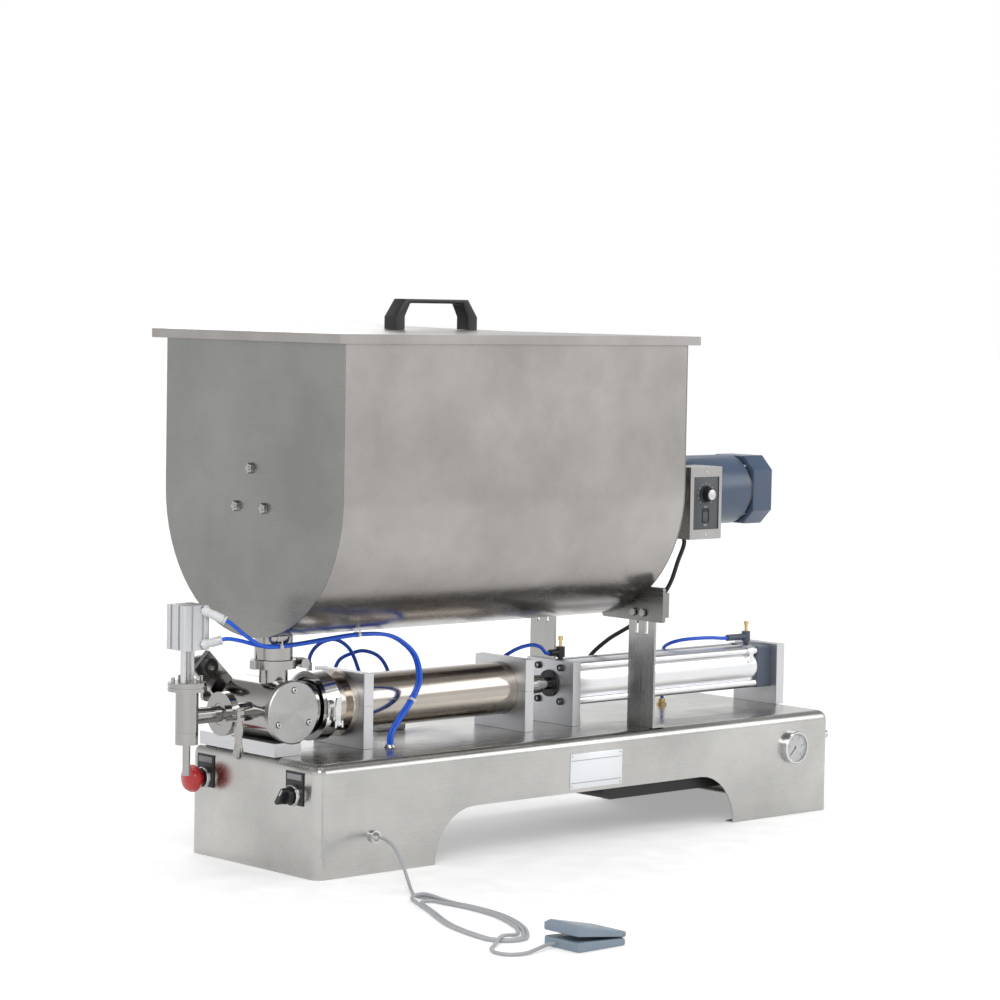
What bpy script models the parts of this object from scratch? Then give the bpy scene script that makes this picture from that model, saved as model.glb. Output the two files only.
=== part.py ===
"""Piston paste filling machine with a stirrer tank, an assembly of separate solids.

Metres, +Z up. X runs from the nozzle to the stirrer's motor, -Y is the front, and the floor is Z = 0.
"""
from math import ceil, cos, pi, radians, sin, sqrt, tan

import bmesh
import bpy
from mathutils import Matrix, Vector

# Shared fits and counts
GAP = 0.0003
OVERRUN = 0.004
WELD = 0.0012
MERGE = 0.00005
MANY_SIDES = 32
SIDES = 24
FEW_SIDES = 12
SCREW_SIDES = 8
SMOOTH_ANGLE = radians(32)

# Base
BASE_OVERHANG = 0.0027
BASE_DEPTH = 0.3077
BASE_HEIGHT = 0.1677
BASE_SHEET = 0.002
BASE_EDGE = 0.016
BASE_LIP = 0.018
LEFT_FOOT = 0.226
RIGHT_FOOT = 0.230
ARCH_HEIGHT = 0.082
ARCH_CORNER = 0.078
DECK_GROMMET_X = 0.213
DECK_GROMMET_Y = -0.061
GROMMET_RADIUS = 0.0095
GROMMET_HEIGHT = 0.004
INLET_Y = -0.126
INLET_Z = 0.1227
INLET_RADIUS = 0.007
INLET_LENGTH = 0.020

# Enclosure under the deck
ENCLOSURE_INSET = 0.180
ENCLOSURE_LENGTH = 0.320
ENCLOSURE_WIDTH = 0.250
ENCLOSURE_HEIGHT = 0.1074
ENCLOSURE_CORNER = 0.020

# Cable gland, gauge and switches on the base
GLAND_X = 0.1065
GLAND_Z = 0.0552
GLAND_RADIUS = 0.0095
GLAND_NUT = 0.005
GLAND_LENGTH = 0.014
GAUGE_INSET = 0.090
GAUGE_Z = 0.1126
GAUGE_RADIUS = 0.027
GAUGE_DEPTH = 0.010
GAUGE_RIM = 0.0032
GAUGE_DIAL_DEPTH = 0.005
NEEDLE_LENGTH = 0.018
NEEDLE_WIDTH = 0.0014
NEEDLE_THICK = 0.0006
NEEDLE_HUB = 0.0022
NEEDLE_PIN = 0.0012
PLATE_WIDTH = 0.040
PLATE_HEIGHT = 0.049
PLATE_THICK = 0.0015
SWITCH_RISE = 0.105
ESTOP_Y = 0.114
ESTOP_DROP = 0.010
ESTOP_COLLAR = 0.0145
ESTOP_COLLAR_LENGTH = 0.008
ESTOP_RADIUS = 0.021
ESTOP_STEM = 0.007
ESTOP_REACH = 0.038
ESTOP_HEAD = 0.022
ESTOP_TRAVEL = 0.004
SELECTOR_Y = -0.101
SELECTOR_COLLAR = 0.0145
SELECTOR_COLLAR_LENGTH = 0.008
SELECTOR_RADIUS = 0.012
SELECTOR_REACH = 0.030
SELECTOR_BAR = 0.007

# Product line: valve, paste cylinder and air cylinder share one axis
AXIS_RISE = 0.0643
VALVE_X = 0.036
VALVE_RADIUS = 0.045
VALVE_FRONT_Y = -0.040
VALVE_LENGTH = 0.111
VALVE_WALL = 0.009
ROTOR_RADIUS = 0.034
ROTOR_PORT = 0.015
SHAFT_RADIUS = 0.011
COVER_RADIUS = 0.047
COVER_THICK = 0.010
COVER_PCD_RADIUS = 0.033
COVER_SCREW = 0.0042
BLOCK_LENGTH = 0.050
BLOCK_FRONT_Y = -0.051
BLOCK_WIDTH = 0.182
BLOCK_HEIGHT = 0.0203
TOP_PIPE_RADIUS = 0.0215
TOP_PIPE_BORE = 0.0175
TOP_PIPE_RISE = 0.068
FERRULE_TOP_RADIUS = 0.0292
LEFT_PIPE_RADIUS = 0.0140
LEFT_PIPE_BORE = 0.0105
LEFT_PIPE_REACH = 0.092
FERRULE_LEFT_RADIUS = 0.0268
FERRULE_THICK = 0.0070
FERRULE_RIM_SHARE = 0.45
CLAMP_LAND = 0.0033
CLAMP_FLANK_SHARE = 0.93
CLAMP_SPLIT = 0.004
CLAMP_EAR_LENGTH = 0.016
CLAMP_EAR_THICK = 0.006
OUTLET_CLAMP_RADIUS = 0.034
NOZZLE_CLAMP_RADIUS = 0.0325
WING_BOLT = 0.0032
BOSS_RADIUS = 0.0385
BOSS_BORE = 0.030
BOSS_REACH = 0.076
CYLINDER_FERRULE = 0.049
CYLINDER_CLAMP_RADIUS = 0.0525
LEVER_PIVOT = 0.0030
LEVER_WIDTH = 0.009
LEVER_LENGTH = 0.040
LEVER_THICK = 0.004
LEVER_CLEARANCE = 0.0035

# Crank and actuator
CRANK_BACK_Y = 0.0961
CRANK_THICK = 0.010
CRANK_WIDTH = 0.040
CRANK_LENGTH = 0.096
CRANK_ANGLE = radians(135)
CRANK_RADIUS = 0.045
CRANK_PIN = 0.005
CRANK_PIN_LENGTH = 0.0245
CRANK_RING = 0.0125
CRANK_RING_LENGTH = 0.011
CRANK_KNOB = 0.015
CRANK_KNOB_LENGTH = 0.012
CRANK_TIP_SHARE = 0.86
YOKE_THICK = 0.007
YOKE_CLEARANCE = 0.003
YOKE_RIM = 0.006
ACTUATOR_ROD = 0.005
ACTUATOR_RADIUS = 0.014
ACTUATOR_BORE = 0.0118
ACTUATOR_START = 0.110
ACTUATOR_LENGTH = 0.150
ACTUATOR_HEAD = 0.010
ACTUATOR_FOOT = 0.006

# Paste cylinder and its plates
PASTE_RADIUS = 0.0415
PASTE_BORE = 0.038
PASTE_FLANGE_RADIUS = 0.050
PASTE_FLANGE_THICK = 0.011
PLATE_A_X = 0.162
PLATE_A_THICK = 0.019
PLATE_B_X = 0.4905
PLATE_B_THICK = 0.0185
SUPPORT_WIDTH = 0.120
SUPPORT_RISE = 0.0495
SUPPORT_EDGE = 0.0015
PISTON_FACE_X = 0.408
PISTON_LENGTH = 0.030
PISTON_FIT = 0.0003
RING_WIDTH = 0.004
RING_DEPTH = 0.0008
ROD_RADIUS = 0.010
COUPLING_X = 0.535
COUPLING_RADIUS = 0.015
COUPLING_LENGTH = 0.030
COUPLING_BORE_SHARE = 0.6
NUT_RADIUS = 0.0145
NUT_LENGTH = 0.010

# Air cylinder and its plates
AIR_PLATE_X = 0.598
AIR_PLATE_THICK = 0.017
AIR_PLATE_WIDTH = 0.110
AIR_PLATE_RISE = 0.038
AIR_CAP_SIZE = 0.070
AIR_CAP_EDGE = 0.004
FRONT_CAP_THICK = 0.0105
GLAND_BOSS = 0.0215
BARREL_X = 0.6263
BARREL_LENGTH = 0.4194
BARREL_RADIUS = 0.0350
BARREL_BORE = 0.0315
TIE_OFFSET = 0.0272
TIE_RADIUS = 0.0075
REAR_CAP_THICK = 0.032
REAR_PLATE_THICK = 0.019
REAR_PLATE_WIDTH = 0.100
AIR_HEAD_LENGTH = 0.022
AIR_HEAD_SETBACK = 0.004
SENSOR_SETBACK = 0.0237
FLOW_RISE = 0.0225
FLOW_BODY_RADIUS = 0.0075
FLOW_SIDE_RADIUS = 0.0055
FLOW_SCREW_RADIUS = 0.0028
FLOW_SCREW_HEIGHT = 0.017
FLOW_KNOB_RADIUS = 0.0042
FLOW_KNOB_HEIGHT = 0.006
BOLT_SPACING_Y = 0.052
BOLT_SPACING_Z = 0.054
BOLT_RADIUS = 0.005
BOLT_HEIGHT = 0.0035

# Nozzle
NOZZLE_X = -0.122
NOZZLE_RADIUS = 0.017
NOZZLE_DROP = 0.040
NOZZLE_RISE = 0.038
NOZZLE_BORE = 0.012
NOZZLE_RING = 0.0008
SIDE_PIPE_RADIUS = 0.012
SIDE_PIPE_BORE = 0.0092
TIP_RADIUS = 0.00575
TIP_BORE = 0.0044
TIP_LENGTH = 0.0454
NOZZLE_FLANGE = 0.029
NOZZLE_FLANGE_THICK = 0.013
FLANGE_STEP = 0.0022
POST_RADIUS = 0.0045
POST_X = 0.016
POST_Y = 0.012
POST_LENGTH = 0.0473
STUD_RING = 0.0235
STUD_RADIUS = 0.003
STUD_HEIGHT = 0.008
STUD_TURN = radians(82)
SHUTOFF_RADIUS = 0.004
SHUTOFF_HEAD_THICK = 0.008
NOZZLE_CYLINDER_SIZE = 0.045
NOZZLE_CYLINDER_HEIGHT = 0.0656
NOZZLE_CYLINDER_BORE = 0.016
NOZZLE_CYLINDER_WALL = 0.009
SENSOR_GROOVE = 0.0022
FITTING_RADIUS = 0.0062
FITTING_SIDE_X = 0.010
FITTING_SIDE_Y = -0.019
UPPER_FITTING_RISE = 0.0594
UPPER_FITTING_REACH = 0.026
LOWER_FITTING_RISE = 0.0074
LOWER_FITTING_REACH = 0.022

# Hopper
HOPPER_X = -0.0097
HOPPER_LENGTH = 0.6928
HOPPER_SHEET = 0.002
TROUGH_RADIUS = 0.2117
TROUGH_STEPS = 32
NECK_RADIUS = 0.029
NECK_BORE = 0.025
NECK_LENGTH = 0.041
WALL_RISE = 0.2371
RIM_WIDTH = 0.009
LID_X = -0.0287
LID_LENGTH = 0.7261
LID_HALF_WIDTH = 0.225
LID_SHEET = 0.002
LID_SKIRT = 0.0136
LID_CREASE = 0.011
HANDLE_LENGTH = 0.168
HANDLE_WIDTH = 0.027
HANDLE_HEIGHT = 0.0455
HANDLE_LEG = 0.021
HANDLE_FOOT_RISE = 0.019
HANDLE_SLANT = 0.019
HANDLE_BAR = 0.0065
HANDLE_EDGE = 0.003

# Stirrer and its bearing
STIRRER_SHAFT = 0.0125
STIRRER_TIP = 0.190
STIRRER_STATIONS = 4
ARM_RADIUS = 0.006
BLADE_LENGTH = 0.075
BLADE_WIDTH = 0.052
BLADE_THICK = 0.004
BLADE_PITCH = radians(38)
BEARING_FLANGE = 0.048
BEARING_FLANGE_THICK = 0.008
BEARING_HUB = 0.023
BEARING_DEPTH = 0.026
BEARING_STUDS = 0.0383
STUD_HOLE = 0.0033
STAR_RADIUS = 0.0085
STAR_THICK = 0.006

# Motor and its mount
SEAL_RADIUS = 0.052
SEAL_THICK = 0.012
PILLAR_RADIUS = 0.006
PILLAR_OFFSET = 0.045
MOUNT_REACH = 0.0999
MOUNT_PLATE = 0.106
MOUNT_PLATE_THICK = 0.008
MOTOR_DROP = 0.019
GEARBOX_SIZE = 0.108
GEARBOX_LENGTH = 0.0747
MOTOR_RADIUS = 0.058
MOTOR_LENGTH = 0.131
COWL_GAP = 0.006
COWL_LENGTH = 0.047
COWL_FLAT = 0.114
COWL_CHAMFER = 0.023
COUPLING_SLEEVE = 0.020
COUPLING_SETBACK = 0.0319
COUPLING_SLEEVE_LENGTH = 0.045
SHAFT_INSET = 0.020

# Speed control box
BOX_LEAD = 0.0013
BOX_LENGTH = 0.074
BOX_FRONT_Y = -0.119
BOX_TOP = 0.580
BOX_HEIGHT = 0.117
BOX_FRAME = 0.008
BOX_FACE_DEPTH = 0.0025
SPEED_KNOB_Z = 0.5356
SPEED_KNOB_RADIUS = 0.012
SPEED_KNOB_LENGTH = 0.015
ROCKER_Z = 0.501
ROCKER_HEIGHT = 0.020
ROCKER_WIDTH = 0.012
ROCKER_DEPTH = 0.010

# Posts and brackets
POST_FOOT = 0.024
SUPPORT_POST_SETBACK = 0.0054
SUPPORT_POST_THICK = 0.004
SUPPORT_POST_WIDTH = 0.058
SUPPORT_POST_INNER = 0.087
SUPPORT_POST_TOP = 0.370
SLOT_WIDTH = 0.007
SLOT_LENGTH = 0.024
SLOT_Z = 0.328
SLOT_SPACING = 0.022
BRACKET_INNER = 0.032
BRACKET_OUTER = 0.169
BRACKET_LOW = 0.3385
BRACKET_HIGH = 0.394
BRACKET_THICK = 0.005
BRACKET_RETURN = 0.008
HEX_RADIUS = 0.0065
HEX_HEIGHT = 0.005

# Foot pedal
PEDAL_X = -0.0440
PEDAL_Y = -0.6820
PEDAL_LENGTH = 0.088
PEDAL_WIDTH = 0.066
PEDAL_BASE_HEIGHT = 0.0095
PEDAL_BASE_TOE = 0.014
PEDAL_TOE = 0.034
PEDAL_HEEL = 0.0185
PEDAL_EDGE = 0.004
PEDAL_PIN_RADIUS = 0.002
PEDAL_PIN_INSET = 0.007
PEDAL_PIN_Z = 0.0120
PEDAL_SHELL = 0.0025
PEDAL_SWING = 3

# Cord and cables
CORD_RADIUS = 0.0025
HOSE_RADIUS = 0.003
CABLE_RADIUS = 0.0035
ROUTE_STEP_SHARE = 3.4
HANK_THICK = 0.012

# Shares of the sizes above
GROMMET_TOP_SHARE = 0.8
INLET_NUT_SHARE = 1.35
INLET_STEP_SHARE = 0.3
GLAND_TIP_SHARE = 0.45
GLAND_STEP_SHARE = 0.82
ESTOP_DOME_SHARES = ((0, 1), (0.45, 0.97), (0.82, 0.83), (0.98, 0.60), (1, 0.40), (0.84, 0.14), (0.55, 0))
SELECTOR_GRIP_SHARE = 1.15
COVER_EDGE_SHARE = 0.15
CRANK_HOLE_SHARE = 0.5
CRANK_STEP_SHARE = 0.6
CRANK_KNOB_SHARE = 0.8
YOKE_ROUND_SHARE = 0.9
EAR_SHORT_SHARE = 0.6
COUPLING_NECK_SHARE = 0.8
FLOW_SIDE_SHARE = 0.6
FLOW_STEM_SHARE = 0.6
SENSOR_SADDLE_SHARE = 1.35
NOZZLE_RING_SHARE = 0.45
GROOVE_PLACE_SHARE = 0.42
PLUG_SHARE = 1.3
HANDLE_INNER_SHARE = 0.55
HUB_SHARE = 1.5
STAR_DEPTH_SHARE = 0.38
MOTOR_NECK_SHARE = 0.86
BRACKET_SLOT_SHARE = 0.7
STEM_SHARE = 0.35
KNOB_TAPER_SHARE = 0.86
ROCKER_PIVOT_SHARE = 0.45
HOSE_TOUCH_SHARE = 0.96
UPPER_FITTING_SHARES = (1, -19 / 26, -15 / 26)
LOWER_FITTING_SHARES = (1, -16 / 22, 7 / 22)

# Angles and a few more sizes of the small parts
NEEDLE_ANGLE = radians(225)
NEEDLE_GAPE = radians(20)
SELECTOR_ANGLE = radians(35)
ACTUATOR_RISE = 0.008
WING_BOLT_LENGTH = 0.056
CYLINDER_CLAMP_WIDTH = 0.025
LEVER_DROP = 0.022
LEVER_KICK = 0.003
FLOW_FRONT_REACH = 0.024
FLOW_REAR_REACH = 0.046
SENSOR_LENGTH = 0.014
SENSOR_DROP = 0.018
BRACKET_SLOT_Z = 0.352
MANIFOLD_X = 0.305
MANIFOLD_Y = 0.075
MANIFOLD_LENGTH = 0.055
MANIFOLD_WIDTH = 0.026
MANIFOLD_HEIGHT = 0.022

# Routes of the hoses and cables, chosen by hand
UPPER_BEND = (-0.050, -0.0440, 0.350)
LOWER_BEND = (-0.055, -0.0380, 0.3425)
NOZZLE_BUNDLE = ((-0.018, -0.0400, 0.333), (0.0136, -0.0410, 0.3305), (0.050, -0.0450, 0.3325),
    (0.100, -0.0540, 0.338), (0.145, -0.0609, 0.342), (0.200, -0.0609, 0.339), (0.232, -0.0609, 0.327),
    (0.2606, -0.0609, 0.302), (0.2694, -0.0609, 0.265), (0.254, -0.0609, 0.236), (0.230, -0.0609, 0.208),
    (0.215, -0.0609, 0.187), (0.213, -0.0609, 0.1722))
HOSE_A = ((0.196, 0.1146, 0.280), (0.197, 0.1146, 0.289), (0.206, 0.1135, 0.302), (0.222, 0.112, 0.311),
    (0.246, 0.110, 0.3125), (0.270, 0.106, 0.296), (0.287, 0.102, 0.258), (0.300, 0.096, 0.215),
    (0.316, 0.090, 0.188))
HOSE_B = ((0.248, 0.1146, 0.262), (0.249, 0.1146, 0.270), (0.257, 0.1140, 0.281), (0.274, 0.112, 0.288),
    (0.300, 0.110, 0.292), (0.328, 0.106, 0.282), (0.344, 0.102, 0.259), (0.348, 0.096, 0.220),
    (0.345, 0.090, 0.188))
FRONT_FLOW_HOSE = ((0.5962, 0, 0.2805), (0.589, 0, 0.281), (0.578, 0.001, 0.291), (0.560, 0.006, 0.295),
    (0.536, 0.020, 0.286), (0.519, 0.045, 0.262), (0.513, 0.071, 0.230), (0.490, 0.092, 0.200),
    (0.440, 0.100, 0.184), (0.395, 0.094, 0.178), (0.357, 0.090, 0.178))
REAR_FLOW_HOSE = ((1.0071, 0, 0.2805), (0.998, 0, 0.2805), (0.970, 0, 0.283), (0.930, 0.001, 0.284),
    (0.903, 0.008, 0.282), (0.893, 0.023, 0.276), (0.896, 0.040, 0.266), (0.905, 0.050, 0.242),
    (0.912, 0.056, 0.205), (0.914, 0.060, 0.170))
MOTOR_CABLE = ((0.812, -0.085, 0.4627), (0.812, -0.085, 0.452), (0.807, -0.078, 0.427),
    (0.799, -0.066, 0.385), (0.782, -0.044, 0.345), (0.760, -0.020, 0.318), (0.7436, 0.020, 0.290),
    (0.730, 0.050, 0.257), (0.723, 0.061, 0.215), (0.722, 0.063, 0.170))
CORD_LEAD = ((0.1065, -0.16845, 0.0552), (0.1055, -0.180, 0.0548), (0.100, -0.205, 0.048),
    (0.088, -0.240, 0.030), (0.072, -0.272, 0.012), (0.058, -0.295, 0.0042), (0.0461, -0.313, 0.0030),
    (0.0376, -0.3261, 0.0030), (0.0325, -0.3345, 0.0030))
HANK_OUTLINE = ((0.0300, -0.3335), (0.0405, -0.352), (0.045, -0.390), (0.050, -0.445), (0.042, -0.515),
    (0.010, -0.590), (-0.036, -0.646), (-0.064, -0.650), (-0.089, -0.612), (-0.070, -0.522),
    (-0.024, -0.424), (0.010, -0.352))
CORD_TAIL = ((-0.0794, -0.6365, 0.0045), (-0.0871, -0.6426, 0.0040), (-0.106, -0.654, 0.0030),
    (-0.124, -0.669, 0.0029), (-0.134, -0.690, 0.0029), (-0.127, -0.710, 0.0029), (-0.106, -0.7155, 0.0032),
    (-0.082, -0.711, 0.0046), (-0.058, -0.7045, 0.0060), (-0.0443, -0.704, 0.0062))

# Places worked out from the sizes above
HALF_DEPTH = BASE_DEPTH / 2
DECK = BASE_HEIGHT
AXIS_Z = DECK + AXIS_RISE
CLAMP_Z = AXIS_Z + TOP_PIPE_RISE
HOPPER_BOTTOM = CLAMP_Z + NECK_LENGTH
TROUGH_Z = HOPPER_BOTTOM + TROUGH_RADIUS
RIM_Z = TROUGH_Z + WALL_RISE
HOPPER_END = HOPPER_X + HOPPER_LENGTH
LID_TOP = RIM_Z + GAP + LID_SHEET
LID_MIDDLE = LID_X + LID_LENGTH / 2
MOTOR_Z = TROUGH_Z - MOTOR_DROP
VALVE_BACK_Y = VALVE_FRONT_Y + VALVE_LENGTH
BARREL_END = BARREL_X + BARREL_LENGTH
REAR_CAP_X = BARREL_END + GAP
REAR_PLATE_X = REAR_CAP_X + REAR_CAP_THICK + GAP
BASE_LENGTH = REAR_PLATE_X + REAR_PLATE_THICK + BASE_OVERHANG
ARCH_END = BASE_LENGTH - RIGHT_FOOT
ENCLOSURE_X = BASE_LENGTH - ENCLOSURE_INSET - ENCLOSURE_LENGTH
GAUGE_X = BASE_LENGTH - GAUGE_INSET
SENSOR_X = BARREL_END - SENSOR_SETBACK
SUPPORT_POST_X = HOPPER_END + SUPPORT_POST_SETBACK
MOUNT_PLATE_X = HOPPER_END + MOUNT_REACH
COUPLING_SLEEVE_X = HOPPER_END + COUPLING_SETBACK
GEARBOX_X = MOUNT_PLATE_X + MOUNT_PLATE_THICK + GAP
GEARBOX_END = GEARBOX_X + GEARBOX_LENGTH
MOTOR_END = GEARBOX_END + MOTOR_LENGTH
COWL_END = MOTOR_END + COWL_GAP + COWL_LENGTH
BOX_X = GEARBOX_X - BOX_LEAD
FRONT_CAP_X = BARREL_X - GAP - FRONT_CAP_THICK
SWITCH_Z = SWITCH_RISE + PLATE_HEIGHT / 2
CRANK_REACH = Vector((cos(CRANK_ANGLE), 0, sin(CRANK_ANGLE)))
BOSS_END = VALVE_X + BOSS_REACH
NOZZLE_FLANGE_Z = AXIS_Z + NOZZLE_RISE
NOZZLE_CYLINDER_Z = NOZZLE_FLANGE_Z + NOZZLE_FLANGE_THICK + GAP + POST_LENGTH
PEDAL_PIN_X = PEDAL_X + PEDAL_LENGTH - PEDAL_PIN_INSET
YOKE_Y = CRANK_BACK_Y + CRANK_KNOB_LENGTH + YOKE_CLEARANCE
ACTUATOR_Z = AXIS_Z + ACTUATOR_RISE

X_AXIS = Vector((1, 0, 0))
Y_AXIS = Vector((0, 1, 0))
Z_AXIS = Vector((0, 0, 1))


def fitting(rise, reach, shares):
    """Start and end of a push-in fitting on the nozzle cylinder."""
    start = Vector((NOZZLE_X + FITTING_SIDE_X, FITTING_SIDE_Y, NOZZLE_CYLINDER_Z + rise))
    return start, start + reach * Vector(shares)


UPPER_FITTING = fitting(UPPER_FITTING_RISE, UPPER_FITTING_REACH, UPPER_FITTING_SHARES)
LOWER_FITTING = fitting(LOWER_FITTING_RISE, LOWER_FITTING_REACH, LOWER_FITTING_SHARES)


def clear_scene():
    for old in list(bpy.data.objects):
        bpy.data.objects.remove(old)


def new_collection(name):
    collection = bpy.data.collections.new(name)
    bpy.context.scene.collection.children.link(collection)
    return collection


clear_scene()
MODEL = new_collection("piston_paste_filling_machine")
CUTTERS = new_collection("cutters")
FINISHES = {}


def finish(name, colour, roughness, metallic):
    material = bpy.data.materials.new(name)
    material.use_nodes = True
    shader = material.node_tree.nodes["Principled BSDF"]
    shader.inputs["Base Color"].default_value = (*colour, 1)
    shader.inputs["Roughness"].default_value = roughness
    shader.inputs["Metallic"].default_value = metallic
    FINISHES[name] = material


finish("brushed_steel", (0.62, 0.61, 0.59), 0.34, 1)
finish("polished_steel", (0.70, 0.69, 0.67), 0.18, 1)
finish("cast_aluminium", (0.74, 0.75, 0.77), 0.42, 1)
finish("dark_cap", (0.10, 0.12, 0.16), 0.45, 0)
finish("black_plastic", (0.02, 0.02, 0.022), 0.40, 0)
finish("red_plastic", (0.66, 0.03, 0.03), 0.35, 0)
finish("blue_hose", (0.01, 0.10, 0.62), 0.30, 0)
finish("black_cable", (0.02, 0.02, 0.02), 0.50, 0)
finish("grey_cable", (0.55, 0.55, 0.56), 0.45, 0)
finish("motor_paint", (0.10, 0.15, 0.24), 0.40, 0.2)
finish("pedal_paint", (0.30, 0.37, 0.43), 0.38, 0.2)
finish("gauge_white", (0.85, 0.86, 0.86), 0.40, 0)
finish("brass", (0.70, 0.55, 0.28), 0.30, 1)


def smooth(mesh):
    mesh.shade_smooth()
    mesh.set_sharp_from_angle(angle=SMOOTH_ANGLE)


def operand(mesh):
    piece = bpy.data.objects.new("operand", mesh)
    CUTTERS.objects.link(piece)
    piece.hide_render = True
    piece.display_type = "WIRE"
    return piece


def from_bmesh(shape):
    bmesh.ops.recalc_face_normals(shape, faces=shape.faces)
    mesh = bpy.data.meshes.new("shape")
    shape.to_mesh(mesh)
    shape.free()
    smooth(mesh)
    return operand(mesh)


def add_box(shape, low, high):
    low, high = Vector(low), Vector(high)
    middle = Matrix.Translation((low + high) / 2)
    scale = Matrix.Diagonal((*(high - low), 1))
    return bmesh.ops.create_cube(shape, size=1, matrix=middle @ scale)["verts"]


def box(low, high):
    shape = bmesh.new()
    add_box(shape, low, high)
    return from_bmesh(shape)


def boxes(spans):
    shape = bmesh.new()
    for low, high in spans:
        add_box(shape, low, high)
    return from_bmesh(shape)


def rounded_box(low, high, radius, chosen, steps=4):
    """A box whose chosen edges are rounded; chosen(start, end) says which."""
    shape = bmesh.new()
    add_box(shape, low, high)
    edges = [edge for edge in shape.edges if chosen(edge.verts[0].co, edge.verts[1].co)]
    bmesh.ops.bevel(shape, geom=edges, offset=radius, segments=steps, profile=0.5, affect="EDGES")
    return from_bmesh(shape)


def edges_along(axis):
    def chosen(start, end):
        return abs((end - start).normalized()[axis]) > 0.9
    return chosen


def edges_above(height):
    def chosen(start, end):
        return max(start.z, end.z) > height
    return chosen


def turn_to(direction):
    return Vector(direction).to_track_quat("Z", "Y").to_matrix().to_4x4()


def add_cylinder(shape, radius, start, end, sides=SIDES, tip=None):
    start, end = Vector(start), Vector(end)
    along = end - start
    place = Matrix.Translation((start + end) / 2) @ turn_to(along)
    bmesh.ops.create_cone(shape, cap_ends=True, segments=sides, radius1=radius,
                          radius2=radius if tip is None else tip, depth=along.length, matrix=place)


def cylinder(radius, start, end, sides=SIDES, tip=None):
    shape = bmesh.new()
    add_cylinder(shape, radius, start, end, sides, tip)
    return from_bmesh(shape)


def cylinders(radius, spans, sides=SIDES):
    shape = bmesh.new()
    for start, end in spans:
        add_cylinder(shape, radius, start, end, sides)
    return from_bmesh(shape)


def turned(profile, origin, direction, sides=SIDES, ring=False):
    """A profile of (radius, height) points, outer side first from the top down, turned about its axis."""
    shape = bmesh.new()
    points = [shape.verts.new((radius, 0, height)) for radius, height in profile]
    for first, second in zip(points, points[1:]):
        shape.edges.new((first, second))
    if ring:
        shape.edges.new((points[-1], points[0]))
    mesh = bpy.data.meshes.new("profile")
    shape.to_mesh(mesh)
    shape.free()
    piece = operand(mesh)
    screw = piece.modifiers.new("turn", "SCREW")
    screw.steps = sides
    screw.render_steps = sides
    screw.use_merge_vertices = True
    screw.merge_threshold = MERGE
    screw.use_smooth_shade = True
    piece.matrix_world = Matrix.Translation(origin) @ turn_to(direction)
    return piece


def solid_from_curve(curve_object):
    """The closed mesh of a curve, with its caps welded."""
    depsgraph = bpy.context.evaluated_depsgraph_get()
    mesh = bpy.data.meshes.new_from_object(curve_object.evaluated_get(depsgraph))
    shape = bmesh.new()
    shape.from_mesh(mesh)
    bmesh.ops.remove_doubles(shape, verts=shape.verts, dist=MERGE)
    shape.to_mesh(mesh)
    shape.free()
    smooth(mesh)
    piece = operand(mesh)
    piece.matrix_world = curve_object.matrix_world
    bpy.data.objects.remove(curve_object)
    return piece


PLANES = {
    "X": Matrix(((0, 0, 1), (1, 0, 0), (0, 1, 0))).to_4x4(),
    "Y": Matrix(((1, 0, 0), (0, 0, -1), (0, 1, 0))).to_4x4(),
    "Z": Matrix.Identity(4),
}


def prism(outlines, low, high, axis):
    """Flat outlines, the later ones holes, drawn across an axis and thickened from low to high."""
    curve = bpy.data.curves.new("outline", "CURVE")
    curve.dimensions = "2D"
    curve.fill_mode = "BOTH"
    curve.extrude = (high - low) / 2
    for outline in outlines:
        spline = curve.splines.new("POLY")
        spline.points.add(len(outline) - 1)
        for point, (across, up) in zip(spline.points, outline):
            point.co = (across, up, 0, 1)
        spline.use_cyclic_u = True
    flat = bpy.data.objects.new("outline", curve)
    CUTTERS.objects.link(flat)
    middle = (low + high) / 2
    offset = {"X": (middle, 0, 0), "Y": (0, middle, 0), "Z": (0, 0, middle)}[axis]
    flat.matrix_world = Matrix.Translation(offset) @ PLANES[axis]
    bpy.context.view_layer.update()
    return solid_from_curve(flat)


def arc(centre, radius, start, end, steps, tall=None):
    """Points along an arc or, with a second radius, along an ellipse."""
    tall = radius if tall is None else tall
    angles = [start + (end - start) * step / steps for step in range(steps + 1)]
    return [(centre[0] + radius * cos(angle), centre[1] + tall * sin(angle)) for angle in angles]


def rounded_outline(left, right, low, high, radius, steps=4):
    return (arc((right - radius, low + radius), radius, -pi / 2, 0, steps)
            + arc((right - radius, high - radius), radius, 0, pi / 2, steps)
            + arc((left + radius, high - radius), radius, pi / 2, pi, steps)
            + arc((left + radius, low + radius), radius, pi, 3 * pi / 2, steps))


def slot_outline(middle, width, length, upright, steps=6):
    radius = width / 2
    reach = length / 2 - radius
    if upright:
        return (arc((middle[0], middle[1] + reach), radius, 0, pi, steps)
                + arc((middle[0], middle[1] - reach), radius, pi, 2 * pi, steps))
    return (arc((middle[0] + reach, middle[1]), radius, -pi / 2, pi / 2, steps)
            + arc((middle[0] - reach, middle[1]), radius, pi / 2, 3 * pi / 2, steps))


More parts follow.
